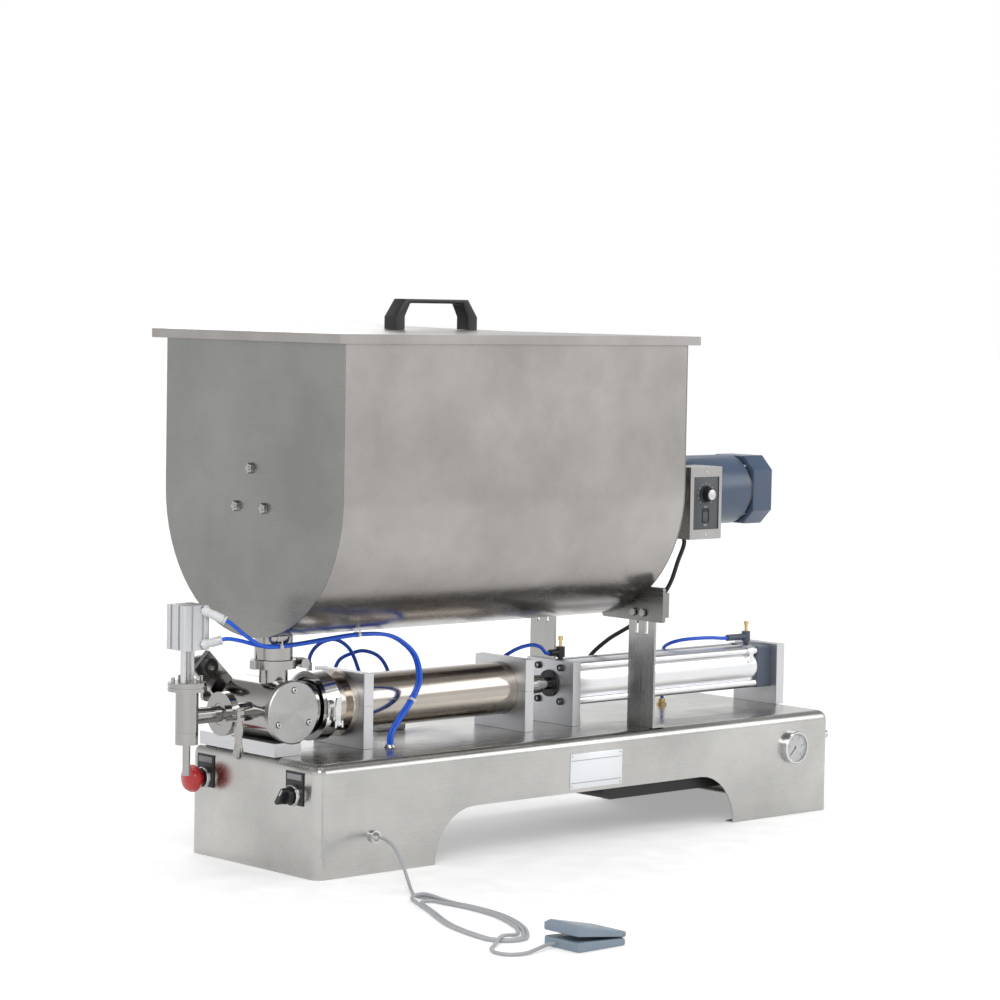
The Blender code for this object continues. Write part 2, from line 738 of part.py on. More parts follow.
def smooth_route(points, radius):
    """Evenly spaced points of a smooth curve through the route's own points."""
    points = [Vector(point) for point in points]
    ends = [2 * points[0] - points[1], *points, 2 * points[-1] - points[-2]]
    fine = []
    for first, second, third, fourth in zip(ends, ends[1:], ends[2:], ends[3:]):
        span = (third - second).length
        before = (third - first) * span / ((second - first).length + span)
        after = (fourth - second) * span / ((fourth - third).length + span)
        pieces = max(2, ceil(span / (ROUTE_STEP_SHARE * 2 * radius)))
        for step in range(pieces):
            share = step / pieces
            fine.append((2 * share ** 3 - 3 * share ** 2 + 1) * second
                        + (share ** 3 - 2 * share ** 2 + share) * before
                        + (3 * share ** 2 - 2 * share ** 3) * third
                        + (share ** 3 - share ** 2) * after)
    return [*fine, points[-1]]


def tube(points, radius, resolution=2):
    curve = bpy.data.curves.new("tube", "CURVE")
    curve.dimensions = "3D"
    curve.bevel_depth = radius
    curve.bevel_resolution = resolution
    curve.use_fill_caps = True
    spline = curve.splines.new("POLY")
    spline.points.add(len(points) - 1)
    for point, place in zip(spline.points, points):
        point.co = (*place, 1)
    piece = bpy.data.objects.new("tube", curve)
    CUTTERS.objects.link(piece)
    return piece


def solid_tube(points, radius, resolution=1):
    piece = tube(points, radius, resolution)
    bpy.context.view_layer.update()
    return solid_from_curve(piece)


def combine(target, others, operation):
    for other in others:
        boolean = target.modifiers.new(operation.lower(), "BOOLEAN")
        boolean.operation = operation
        boolean.solver = "EXACT"
        boolean.object = other
    return target


def unite(target, *others):
    return combine(target, others, "UNION")


def cut(target, *others):
    return combine(target, others, "DIFFERENCE")


def pivot(piece, point):
    """Move a piece's origin onto its joint's axis and leave its shape where it is."""
    shift = piece.matrix_world.inverted() @ Vector(point)
    piece.data.transform(Matrix.Translation(-shift))
    piece.matrix_world = piece.matrix_world @ Matrix.Translation(shift)


def node(piece, name, material, joint_at=None):
    if joint_at is not None:
        pivot(piece, joint_at)
    piece.name = name
    piece.data.name = name
    piece.data.materials.clear()
    piece.data.materials.append(FINISHES[material])
    piece.hide_render = False
    piece.display_type = "TEXTURED"
    CUTTERS.objects.unlink(piece)
    MODEL.objects.link(piece)
    return piece


def edges_below(height, axis):
    def chosen(start, end):
        return max(start.z, end.z) < height and abs((end - start).normalized()[axis]) > 0.9
    return chosen


def base_cover():
    low = Vector((0, -HALF_DEPTH, 0))
    high = Vector((BASE_LENGTH, HALF_DEPTH, DECK))
    sheet = Vector((BASE_SHEET, BASE_SHEET, BASE_SHEET))
    lip = Vector((BASE_LIP, BASE_LIP, 0))
    upper = edges_above(DECK / 2)
    cover = rounded_box(low, high, BASE_EDGE, upper)
    cavity = rounded_box(low + sheet, high - sheet, BASE_EDGE - BASE_SHEET, upper)
    mouth = box(low + lip - OVERRUN * Z_AXIS, (BASE_LENGTH - BASE_LIP, HALF_DEPTH - BASE_LIP, BASE_SHEET + OVERRUN))
    outline = [(LEFT_FOOT, -OVERRUN)]
    outline += arc((LEFT_FOOT + ARCH_CORNER, 0), ARCH_CORNER, pi, pi / 2, 8, ARCH_HEIGHT)
    outline += arc((ARCH_END - ARCH_CORNER, 0), ARCH_CORNER, pi / 2, 0, 8, ARCH_HEIGHT)
    outline += [(ARCH_END, -OVERRUN)]
    arch = prism([outline], -HALF_DEPTH - OVERRUN, HALF_DEPTH + OVERRUN, "Y")
    cut(cover, cavity, mouth, arch)
    grommet = (DECK_GROMMET_X, DECK_GROMMET_Y, DECK)
    ring = turned([(0, GROMMET_HEIGHT), (GROMMET_RADIUS * GROMMET_TOP_SHARE, GROMMET_HEIGHT),
                   (GROMMET_RADIUS, 0), (GROMMET_RADIUS, -BASE_SHEET), (0, -BASE_SHEET)],
                  grommet, Z_AXIS, FEW_SIDES)
    start = Vector((BASE_LENGTH, INLET_Y, INLET_Z))
    hex_nut = cylinder(INLET_RADIUS * INLET_NUT_SHARE, start - WELD * X_AXIS,
                       start + INLET_LENGTH * INLET_STEP_SHARE * X_AXIS, 6)
    tip = cylinder(INLET_RADIUS, start, start + INLET_LENGTH * X_AXIS, FEW_SIDES)
    unite(cover, ring, hex_nut, tip)
    socket = cylinder(HOSE_RADIUS, start + INLET_LENGTH * INLET_STEP_SHARE * X_AXIS,
                      start + (INLET_LENGTH + OVERRUN) * X_AXIS, SCREW_SIDES)
    cut(cover, socket)
    node(cover, "base_cover", "brushed_steel")


def control_enclosure():
    top = DECK - BASE_SHEET - GAP
    low = (ENCLOSURE_X, -ENCLOSURE_WIDTH / 2, top - ENCLOSURE_HEIGHT)
    high = (ENCLOSURE_X + ENCLOSURE_LENGTH, ENCLOSURE_WIDTH / 2, top)
    shell = rounded_box(low, high, ENCLOSURE_CORNER, edges_below(top - ENCLOSURE_HEIGHT / 2, 1), 5)
    node(shell, "control_enclosure", "black_plastic")


def cable_gland():
    profile = [(0, GLAND_LENGTH), (GLAND_RADIUS * GLAND_TIP_SHARE, GLAND_LENGTH),
               (GLAND_RADIUS * GLAND_STEP_SHARE, GLAND_NUT), (GLAND_RADIUS, GLAND_NUT),
               (GLAND_RADIUS, 0), (0, 0)]
    gland = turned(profile, (GLAND_X, -HALF_DEPTH - GAP, GLAND_Z), -Y_AXIS, FEW_SIDES)
    node(gland, "cable_gland", "black_plastic")


def pressure_gauge():
    centre = Vector((GAUGE_X, -HALF_DEPTH - GAP, GAUGE_Z))
    dial = GAUGE_DEPTH - GAUGE_DIAL_DEPTH
    inner = GAUGE_RADIUS - GAUGE_RIM
    profile = [(0, dial + GAUGE_DIAL_DEPTH / 2), (NEEDLE_PIN, dial + GAUGE_DIAL_DEPTH / 2), (NEEDLE_PIN, dial),
               (inner, dial), (inner, GAUGE_DEPTH), (GAUGE_RADIUS - GAUGE_RIM / 3, GAUGE_DEPTH),
               (GAUGE_RADIUS, GAUGE_DEPTH - GAUGE_RIM / 2), (GAUGE_RADIUS, 0), (0, 0)]
    case = turned(profile, centre, -Y_AXIS, MANY_SIDES)
    node(case, "gauge_case", "polished_steel")
    tip = Vector((cos(NEEDLE_ANGLE), sin(NEEDLE_ANGLE)))
    side = Vector((-tip.y, tip.x)) * NEEDLE_WIDTH / 2
    middle = Vector((GAUGE_X, GAUGE_Z))
    hub = arc(middle, NEEDLE_HUB, NEEDLE_ANGLE + NEEDLE_GAPE, NEEDLE_ANGLE + 2 * pi - NEEDLE_GAPE, 10)
    end = middle + tip * NEEDLE_LENGTH
    outline = [*hub, tuple(end - side / 2), tuple(end + side / 2)]
    hole = arc(middle, NEEDLE_PIN + GAP, 0, 2 * pi * 11 / 12, 11)
    back = centre.y - dial - GAP
    needle = prism([outline, hole], back - NEEDLE_THICK, back, "Y")
    node(needle, "gauge_needle", "black_plastic", (GAUGE_X, back, GAUGE_Z))


def legend_plate(middle_y):
    return box((-GAP - PLATE_THICK, middle_y - PLATE_WIDTH / 2, SWITCH_Z - PLATE_HEIGHT / 2),
               (-GAP, middle_y + PLATE_WIDTH / 2, SWITCH_Z + PLATE_HEIGHT / 2))


def emergency_stop():
    centre = Vector((-GAP, ESTOP_Y, SWITCH_Z - ESTOP_DROP))
    plate = legend_plate(ESTOP_Y)
    reach = PLATE_THICK + ESTOP_COLLAR_LENGTH
    collar = cylinder(ESTOP_COLLAR, centre - PLATE_THICK / 2 * X_AXIS, centre - reach * X_AXIS)
    unite(plate, collar)
    bore = cylinder(ESTOP_STEM + GAP, centre + OVERRUN * X_AXIS, centre - (reach + OVERRUN) * X_AXIS, FEW_SIDES)
    cut(plate, bore)
    node(plate, "estop_base", "black_plastic")
    back = ESTOP_REACH - ESTOP_HEAD
    inner = ESTOP_TRAVEL + PLATE_THICK / 2
    profile = [(ESTOP_RADIUS * across, back + ESTOP_HEAD * up) for across, up in ESTOP_DOME_SHARES]
    profile += [(ESTOP_STEM, back), (ESTOP_STEM, inner), (0, inner)]
    button = turned(profile, centre, -X_AXIS, MANY_SIDES)
    node(button, "estop_button", "red_plastic")


def selector_switch():
    centre = Vector((-GAP, SELECTOR_Y, SWITCH_Z - ESTOP_DROP))
    reach = PLATE_THICK + SELECTOR_COLLAR_LENGTH
    plate = legend_plate(SELECTOR_Y)
    collar = cylinder(SELECTOR_COLLAR, centre - PLATE_THICK / 2 * X_AXIS, centre - reach * X_AXIS)
    bore = cylinder(ESTOP_STEM + GAP, centre + OVERRUN * X_AXIS, centre - (reach + OVERRUN) * X_AXIS, FEW_SIDES)
    unite(plate, collar)
    cut(plate, bore)
    node(plate, "selector_base", "black_plastic")
    face = (reach + SELECTOR_REACH) / 2
    profile = [(0, face), (SELECTOR_RADIUS, face), (SELECTOR_RADIUS, reach + GAP), (ESTOP_STEM, reach + GAP),
               (ESTOP_STEM, PLATE_THICK / 2), (0, PLATE_THICK / 2)]
    knob = turned(profile, centre, -X_AXIS, SIDES)
    outline = rounded_outline(-SELECTOR_BAR / 2, SELECTOR_BAR / 2, -SELECTOR_RADIUS * SELECTOR_GRIP_SHARE,
                              SELECTOR_RADIUS * SELECTOR_GRIP_SHARE, SELECTOR_BAR / 3)
    grip = prism([outline], -SELECTOR_REACH, -(face - WELD), "X")
    grip.matrix_world = (Matrix.Translation((-GAP, centre.y, centre.z))
                         @ Matrix.Rotation(SELECTOR_ANGLE, 4, "X") @ grip.matrix_world)
    unite(knob, grip)
    node(knob, "selector_knob", "black_plastic")


def valve_block():
    low = Vector((0, BLOCK_FRONT_Y, DECK + GAP))
    block = box(low, (BLOCK_LENGTH, BLOCK_FRONT_Y + BLOCK_WIDTH, DECK + BLOCK_HEIGHT))
    axis = Vector((VALVE_X, 0, AXIS_Z))
    saddle = cylinder(VALVE_RADIUS + GAP, axis + (VALVE_FRONT_Y - OVERRUN) * Y_AXIS,
                      axis + (VALVE_BACK_Y + OVERRUN) * Y_AXIS, MANY_SIDES)
    relief = cylinder(COVER_RADIUS + GAP, axis + (BLOCK_FRONT_Y - OVERRUN) * Y_AXIS,
                      axis + (VALVE_FRONT_Y + GAP) * Y_AXIS, MANY_SIDES)
    cut(block, saddle, relief)
    node(block, "valve_block", "cast_aluminium")


def ferruled_pipe(radius, pipe, length, end, direction):
    """A pipe that ends in a clamp ferrule whose flat end faces along the direction."""
    rim = FERRULE_THICK * FERRULE_RIM_SHARE
    profile = [(0, 0), (radius, 0), (radius, -rim), (pipe, -FERRULE_THICK), (pipe, -length), (0, -length)]
    return turned(profile, end, direction, MANY_SIDES)


def valve_body():
    axis = Vector((VALVE_X, 0, AXIS_Z))
    top = Vector((VALVE_X, 0, CLAMP_Z - GAP / 2))
    left = axis - (LEFT_PIPE_REACH - GAP / 2) * X_AXIS
    right = Vector((BOSS_END, 0, AXIS_Z))
    body = cylinder(VALVE_RADIUS, axis + VALVE_FRONT_Y * Y_AXIS, axis + VALVE_BACK_Y * Y_AXIS, MANY_SIDES)
    unite(body,
          ferruled_pipe(CYLINDER_FERRULE, BOSS_RADIUS, BOSS_REACH - 3 * WELD, right, X_AXIS),
          ferruled_pipe(FERRULE_TOP_RADIUS, TOP_PIPE_RADIUS, TOP_PIPE_RISE - 2 * OVERRUN, top, Z_AXIS),
          ferruled_pipe(FERRULE_LEFT_RADIUS, LEFT_PIPE_RADIUS, LEFT_PIPE_REACH - 2 * OVERRUN, left, -X_AXIS))
    cut(body,
        cylinder(ROTOR_RADIUS, axis + (VALVE_FRONT_Y - OVERRUN) * Y_AXIS,
                 axis + (VALVE_BACK_Y - VALVE_WALL) * Y_AXIS, MANY_SIDES),
        cylinder(SHAFT_RADIUS + GAP, axis, axis + (VALVE_BACK_Y + OVERRUN) * Y_AXIS),
        cylinder(TOP_PIPE_BORE, axis + OVERRUN * Z_AXIS, top + OVERRUN * Z_AXIS),
        cylinder(LEFT_PIPE_BORE, axis - OVERRUN * X_AXIS, left - OVERRUN * X_AXIS, FEW_SIDES),
        cylinder(BOSS_BORE, axis + OVERRUN * X_AXIS, right + OVERRUN * X_AXIS))
    node(body, "valve_body", "polished_steel")


def valve_front_cover():
    centre = Vector((VALVE_X, VALVE_FRONT_Y - GAP, AXIS_Z))
    edge = COVER_THICK * COVER_EDGE_SHARE
    cover = turned([(0, COVER_THICK), (COVER_RADIUS - edge, COVER_THICK), (COVER_RADIUS, COVER_THICK - edge),
                    (COVER_RADIUS, 0), (0, 0)], centre, -Y_AXIS, MANY_SIDES)
    for angle in (pi / 2, pi * 7 / 6, pi * 11 / 6):
        place = centre + COVER_PCD_RADIUS * Vector((cos(angle), 0, sin(angle)))
        recess = turned([(COVER_SCREW + 3 * GAP, COVER_THICK + OVERRUN), (COVER_SCREW + 3 * GAP, COVER_THICK / 2),
                         (COVER_SCREW, COVER_THICK / 2), (COVER_SCREW, COVER_THICK + OVERRUN)],
                        place, -Y_AXIS, FEW_SIDES, ring=True)
        socket = cylinder(COVER_SCREW / 2, place - COVER_THICK * 2 / 3 * Y_AXIS,
                          place - (COVER_THICK + OVERRUN) * Y_AXIS, 6)
        cut(cover, recess, socket)
    node(cover, "valve_front_cover", "polished_steel")


def valve_rotor():
    """A ported core that opens the hopper or the nozzle to the cylinder, with its shaft and crank."""
    axis = Vector((VALVE_X, 0, AXIS_Z))
    core_back = axis + (VALVE_BACK_Y - VALVE_WALL - GAP) * Y_AXIS
    rotor = cylinder(ROTOR_RADIUS - GAP, axis + (VALVE_FRONT_Y + GAP) * Y_AXIS, core_back, MANY_SIDES)
    reach = (ROTOR_RADIUS + OVERRUN) * X_AXIS
    rise = (ROTOR_RADIUS + OVERRUN) * Z_AXIS
    cut(rotor, cylinder(ROTOR_PORT, axis, axis + reach), cylinder(ROTOR_PORT, axis - rise, axis + rise))
    along = CRANK_REACH
    across = Vector((-along.z, 0, along.x))
    heel = axis - along * CRANK_WIDTH / 2
    tip = axis + along * CRANK_LENGTH
    half = across * CRANK_WIDTH / 2
    corners = [heel - half, tip - half, tip + half, heel + half]
    front = CRANK_BACK_Y - CRANK_THICK
    plate = prism([[(corner.x, corner.z) for corner in corners]], front, CRANK_BACK_Y, "Y")
    shaft = cylinder(SHAFT_RADIUS, core_back - WELD * Y_AXIS, axis + (CRANK_BACK_Y + WELD) * Y_AXIS)
    end = axis + along * CRANK_LENGTH * CRANK_TIP_SHARE
    step = CRANK_RING_LENGTH * CRANK_STEP_SHARE
    ring = turned([(0, step), (CRANK_RING * CRANK_HOLE_SHARE, step),
                   (CRANK_RING * CRANK_HOLE_SHARE, CRANK_RING_LENGTH), (CRANK_RING, CRANK_RING_LENGTH),
                   (CRANK_RING, -WELD), (0, -WELD)], end + front * Y_AXIS, -Y_AXIS, SIDES)
    knob_profile = [(0, CRANK_KNOB_LENGTH), (CRANK_KNOB * CRANK_KNOB_SHARE, CRANK_KNOB_LENGTH),
                    (CRANK_KNOB, CRANK_KNOB_LENGTH * CRANK_KNOB_SHARE), (CRANK_KNOB, -WELD), (0, -WELD)]
    knob = turned(knob_profile, end + CRANK_BACK_Y * Y_AXIS, Y_AXIS, SIDES)
    pin_start = axis + along * CRANK_RADIUS + (CRANK_BACK_Y - WELD) * Y_AXIS
    pin = cylinder(CRANK_PIN, pin_start, pin_start + (WELD + CRANK_PIN_LENGTH) * Y_AXIS, FEW_SIDES)
    unite(rotor, shaft, plate, ring, knob, pin)
    node(rotor, "valve_rotor", "polished_steel", axis)


def valve_actuator():
    """A small air cylinder whose yoke carries the crank pin through a quarter turn."""
    pin = Vector((VALVE_X, 0, AXIS_Z)) + CRANK_REACH * CRANK_RADIUS
    highest = AXIS_Z + CRANK_RADIUS
    half = CRANK_PIN + YOKE_CLEARANCE
    middle_y = YOKE_Y + YOKE_THICK / 2
    slot = rounded_outline(pin.x - half, pin.x + half, pin.z - half, highest + half, half * YOKE_ROUND_SHARE)
    outer = half + YOKE_RIM
    rim = rounded_outline(pin.x - outer, pin.x + outer, ACTUATOR_Z - YOKE_RIM, highest + outer,
                          half * YOKE_ROUND_SHARE)
    yoke = prism([rim, slot], YOKE_Y, YOKE_Y + YOKE_THICK, "Y")
    head_x = ACTUATOR_START + ACTUATOR_FOOT + ACTUATOR_HEAD / 2
    rod = cylinder(ACTUATOR_ROD, (pin.x, middle_y, ACTUATOR_Z), (head_x + WELD, middle_y, ACTUATOR_Z), FEW_SIDES)
    head = cylinder(ACTUATOR_BORE - GAP, (head_x, middle_y, ACTUATOR_Z),
                    (head_x + ACTUATOR_HEAD, middle_y, ACTUATOR_Z))
    unite(yoke, rod, head)
    node(yoke, "actuator_rod", "polished_steel", (pin.x, middle_y, ACTUATOR_Z))
    start = Vector((ACTUATOR_START, middle_y, ACTUATOR_Z))
    end = start + ACTUATOR_LENGTH * X_AXIS
    body = cylinder(ACTUATOR_RADIUS, start, end, SIDES)
    feet = boxes([((foot, middle_y - ACTUATOR_RADIUS, DECK + GAP),
                   (foot + ACTUATOR_FOOT, middle_y + ACTUATOR_RADIUS, ACTUATOR_Z))
                  for foot in (start.x + GAP, end.x - ACTUATOR_FOOT - GAP)])
    fittings = cylinders(HOSE_RADIUS + YOKE_CLEARANCE / 2,
                         [((HOSE_A[0][0], middle_y, ACTUATOR_Z), (HOSE_A[0][0], middle_y, HOSE_A[0][2] - GAP)),
                          ((HOSE_B[0][0], middle_y, ACTUATOR_Z), (HOSE_B[0][0], middle_y, HOSE_B[0][2] - GAP))],
                         SCREW_SIDES)
    unite(body, feet, fittings)
    bore = cylinder(ACTUATOR_BORE, start + ACTUATOR_FOOT * X_AXIS, end - ACTUATOR_FOOT * X_AXIS, SIDES)
    rod_hole = cylinder(ACTUATOR_ROD + GAP, start - OVERRUN * X_AXIS, start + 2 * ACTUATOR_FOOT * X_AXIS, FEW_SIDES)
    cut(body, bore, rod_hole)
    node(body, "actuator_body", "cast_aluminium")


def clamp_ring(outer, flange, pipe, half, centre, direction):
    """A clamp band around two ferrules, with flanks that draw them together."""
    rim = FERRULE_THICK * FERRULE_RIM_SHARE + 2 * GAP
    flank = min(half, FERRULE_THICK * CLAMP_FLANK_SHARE)
    fall = (flank - rim) / (FERRULE_THICK - rim)
    inner = flange + 2 * GAP - (flange - pipe) * fall
    profile = [(outer, half), (outer, -half), (inner, -half)]
    if half > flank:
        profile.append((inner, -flank))
    profile += [(flange + GAP, -rim), (flange + GAP, rim)]
    if half > flank:
        profile.append((inner, flank))
    profile.append((inner, half))
    return turned(profile, centre, direction, MANY_SIDES, ring=True)


def outlet_clamp():
    half = FERRULE_THICK * CLAMP_FLANK_SHARE
    centre = Vector((VALVE_X, 0, CLAMP_Z))
    band = clamp_ring(OUTLET_CLAMP_RADIUS, FERRULE_TOP_RADIUS, TOP_PIPE_RADIUS, half, centre, Z_AXIS)
    reach = OUTLET_CLAMP_RADIUS - CLAMP_LAND
    wide = CLAMP_SPLIT / 2 + CLAMP_EAR_THICK
    ears = box((VALVE_X + reach, -wide, CLAMP_Z - half),
               (VALVE_X + OUTLET_CLAMP_RADIUS + CLAMP_EAR_LENGTH, wide, CLAMP_Z + half))
    hinge = box((VALVE_X - OUTLET_CLAMP_RADIUS - CLAMP_EAR_THICK, -CLAMP_EAR_THICK, CLAMP_Z - half),
                (VALVE_X - reach, CLAMP_EAR_THICK, CLAMP_Z + half))
    split = box((VALVE_X + TOP_PIPE_RADIUS, -CLAMP_SPLIT / 2, CLAMP_Z - half - OVERRUN),
                (VALVE_X + OUTLET_CLAMP_RADIUS + CLAMP_EAR_LENGTH + OVERRUN, CLAMP_SPLIT / 2,
                 CLAMP_Z + half + OVERRUN))
    unite(band, ears, hinge)
    cut(band, split)
    bolt_x = VALVE_X + OUTLET_CLAMP_RADIUS + CLAMP_EAR_LENGTH / 2
    bolt = cylinder(WING_BOLT, (bolt_x, wide + WING_BOLT, CLAMP_Z), (bolt_x, -wide - CLAMP_EAR_LENGTH, CLAMP_Z),
                    FEW_SIDES)
    knob = cylinder(CLAMP_EAR_LENGTH / 2, (bolt_x, -wide - WING_BOLT, CLAMP_Z),
                    (bolt_x, -wide - CLAMP_EAR_LENGTH, CLAMP_Z), 8)
    unite(band, bolt, knob)
    node(band, "outlet_clamp", "polished_steel")


def nozzle_clamp():
    half = FERRULE_THICK * CLAMP_FLANK_SHARE
    centre = Vector((VALVE_X - LEFT_PIPE_REACH, 0, AXIS_Z))
    band = clamp_ring(NOZZLE_CLAMP_RADIUS, FERRULE_LEFT_RADIUS, LEFT_PIPE_RADIUS, half, centre, X_AXIS)
    reach = NOZZLE_CLAMP_RADIUS - CLAMP_LAND
    tall = CLAMP_SPLIT / 2 + CLAMP_EAR_THICK
    far = -NOZZLE_CLAMP_RADIUS - CLAMP_EAR_LENGTH * EAR_SHORT_SHARE
    ears = box((centre.x - half, far, AXIS_Z - tall), (centre.x + half, -reach, AXIS_Z + tall))
    hinge = box((centre.x - half, reach, AXIS_Z - CLAMP_EAR_THICK),
                (centre.x + half, NOZZLE_CLAMP_RADIUS + CLAMP_EAR_THICK, AXIS_Z + CLAMP_EAR_THICK))
    split = box((centre.x - half - OVERRUN, far - OVERRUN, AXIS_Z - CLAMP_SPLIT / 2),
                (centre.x + half + OVERRUN, -LEFT_PIPE_RADIUS, AXIS_Z + CLAMP_SPLIT / 2))
    unite(band, ears, hinge)
    cut(band, split)
    bolt_y = (far - NOZZLE_CLAMP_RADIUS) / 2
    low = AXIS_Z - WING_BOLT_LENGTH
    bolt = cylinder(WING_BOLT, (centre.x, bolt_y, AXIS_Z + tall + WING_BOLT), (centre.x, bolt_y, low), FEW_SIDES)
    nut = cylinder(2 * WING_BOLT, (centre.x, bolt_y, AXIS_Z - tall - 2 * WING_BOLT),
                   (centre.x, bolt_y, AXIS_Z - tall + WELD), FEW_SIDES)
    eye = turned([(2.2 * WING_BOLT, WING_BOLT), (2.2 * WING_BOLT, -WING_BOLT), (WING_BOLT, -WING_BOLT),
                  (WING_BOLT, WING_BOLT)], (centre.x, bolt_y, low), Y_AXIS, FEW_SIDES, ring=True)
    unite(band, nut, bolt)
    cut(band, cylinder(WING_BOLT * 1.5, (centre.x, bolt_y - OVERRUN, low), (centre.x, bolt_y + OVERRUN, low),
                       FEW_SIDES))
    unite(band, eye)
    node(band, "nozzle_clamp", "polished_steel")


def cylinder_clamp():
    """The wide clamp between the valve and the paste cylinder, closed by a toggle lever."""
    half = CYLINDER_CLAMP_WIDTH / 2
    centre = Vector((BOSS_END + GAP / 2, 0, AXIS_Z))
    band = clamp_ring(CYLINDER_CLAMP_RADIUS, CYLINDER_FERRULE, PASTE_RADIUS, half, centre, X_AXIS)
    pivot_y = -CYLINDER_CLAMP_RADIUS - LEVER_CLEARANCE - LEVER_THICK / 2
    pivot_z = AXIS_Z - LEVER_DROP
    inner = -sqrt(CYLINDER_CLAMP_RADIUS ** 2 - LEVER_DROP ** 2) + CLAMP_LAND
    gap = LEVER_WIDTH / 2 + GAP
    lug = LEVER_PIVOT + LEVER_THICK / 2
    far = pivot_y - lug
    near = inner
    cheek = LEVER_WIDTH / 3
    lugs = boxes([((centre.x + side - cheek / 2, far, pivot_z - lug),
                   (centre.x + side + cheek / 2, near, pivot_z + lug))
                  for side in (-gap - cheek / 2, gap + cheek / 2)])
    pin = cylinder(LEVER_PIVOT - GAP, (centre.x - gap - WELD, pivot_y, pivot_z),
                   (centre.x + gap + WELD, pivot_y, pivot_z), SCREW_SIDES)
    unite(band, lugs, pin)
    node(band, "cylinder_clamp", "polished_steel")
    outline = (arc((pivot_y, pivot_z), LEVER_PIVOT + LEVER_THICK / 2, pi, 2 * pi, 8)
               + [(pivot_y + LEVER_PIVOT, pivot_z + LEVER_PIVOT * 2),
                  (pivot_y + LEVER_THICK / 2, pivot_z + LEVER_LENGTH / 2),
                  (pivot_y + LEVER_THICK / 2 - LEVER_KICK, pivot_z + LEVER_LENGTH),
                  (pivot_y - LEVER_THICK / 2 - LEVER_KICK, pivot_z + LEVER_LENGTH),
                  (pivot_y - LEVER_THICK / 2, pivot_z + LEVER_LENGTH / 2),
                  (pivot_y - LEVER_PIVOT, pivot_z + LEVER_PIVOT * 2)])
    hole = arc((pivot_y, pivot_z), LEVER_PIVOT, 0, 2 * pi * 11 / 12, 11)
    lever = prism([outline, hole], centre.x - LEVER_WIDTH / 2, centre.x + LEVER_WIDTH / 2, "X")
    node(lever, "clamp_lever", "polished_steel", (centre.x, pivot_y, pivot_z))


def paste_cylinder():
    start = BOSS_END + GAP
    length = PLATE_B_X + PLATE_B_THICK - start
    flange = PLATE_A_X - GAP - start
    rim = FERRULE_THICK * FERRULE_RIM_SHARE
    profile = [(PASTE_RADIUS, length), (PASTE_RADIUS, flange), (PASTE_FLANGE_RADIUS, flange),
               (PASTE_FLANGE_RADIUS, flange - PASTE_FLANGE_THICK), (PASTE_RADIUS, flange - PASTE_FLANGE_THICK),
               (PASTE_RADIUS, FERRULE_THICK), (CYLINDER_FERRULE, rim), (CYLINDER_FERRULE, 0),
               (PASTE_BORE, 0), (PASTE_BORE, length)]
    tube_solid = turned(profile, (start, 0, AXIS_Z), X_AXIS, MANY_SIDES, ring=True)
    node(tube_solid, "paste_cylinder", "polished_steel")


def support_plates(name, x, thick):
    """A plate split on the cylinder's axis into a lower saddle and an upper cap."""
    half = SUPPORT_WIDTH / 2
    top = AXIS_Z + SUPPORT_RISE
    upright = edges_along(2)
    lower = rounded_box((x, -half, DECK + GAP), (x + thick, half, AXIS_Z - GAP / 2), SUPPORT_EDGE, upright, 2)
    upper = rounded_box((x, -half, AXIS_Z + GAP / 2), (x + thick, half, top), SUPPORT_EDGE, upright, 2)
    for half_plate in (lower, upper):
        cut(half_plate, cylinder(PASTE_RADIUS + GAP, (x - OVERRUN, 0, AXIS_Z), (x + thick + OVERRUN, 0, AXIS_Z),
                                 MANY_SIDES))
    for side in (-1, 1):
        middle = Vector((x + thick / 2, side * (PASTE_RADIUS + half) / 2, top))
        recess = turned([(BOLT_RADIUS + GAP * 2, OVERRUN), (BOLT_RADIUS + GAP * 2, -BOLT_HEIGHT),
                         (BOLT_RADIUS - GAP * 2, -BOLT_HEIGHT), (BOLT_RADIUS - GAP * 2, OVERRUN)],
                        middle, Z_AXIS, FEW_SIDES, ring=True)
        cut(upper, recess)
    node(lower, name + "_lower", "cast_aluminium")
    node(upper, name + "_upper", "cast_aluminium")


def paste_piston():
    rod_end = COUPLING_X + COUPLING_LENGTH * COUPLING_BORE_SHARE - GAP * 4 - PISTON_FACE_X
    radius = PASTE_BORE - PISTON_FIT
    profile = [(0, rod_end), (ROD_RADIUS, rod_end), (ROD_RADIUS, PISTON_LENGTH)]
    profile += [(radius, PISTON_LENGTH)]
    for share in (3 / 4, 1 / 4):
        middle = PISTON_LENGTH * share
        profile += [(radius, middle + RING_WIDTH / 2), (radius - RING_DEPTH, middle + RING_WIDTH / 2),
                    (radius - RING_DEPTH, middle - RING_WIDTH / 2), (radius, middle - RING_WIDTH / 2)]
    profile += [(radius, 0), (0, 0)]
    node(turned(profile, (PISTON_FACE_X, 0, AXIS_Z), X_AXIS, MANY_SIDES), "paste_piston", "polished_steel")


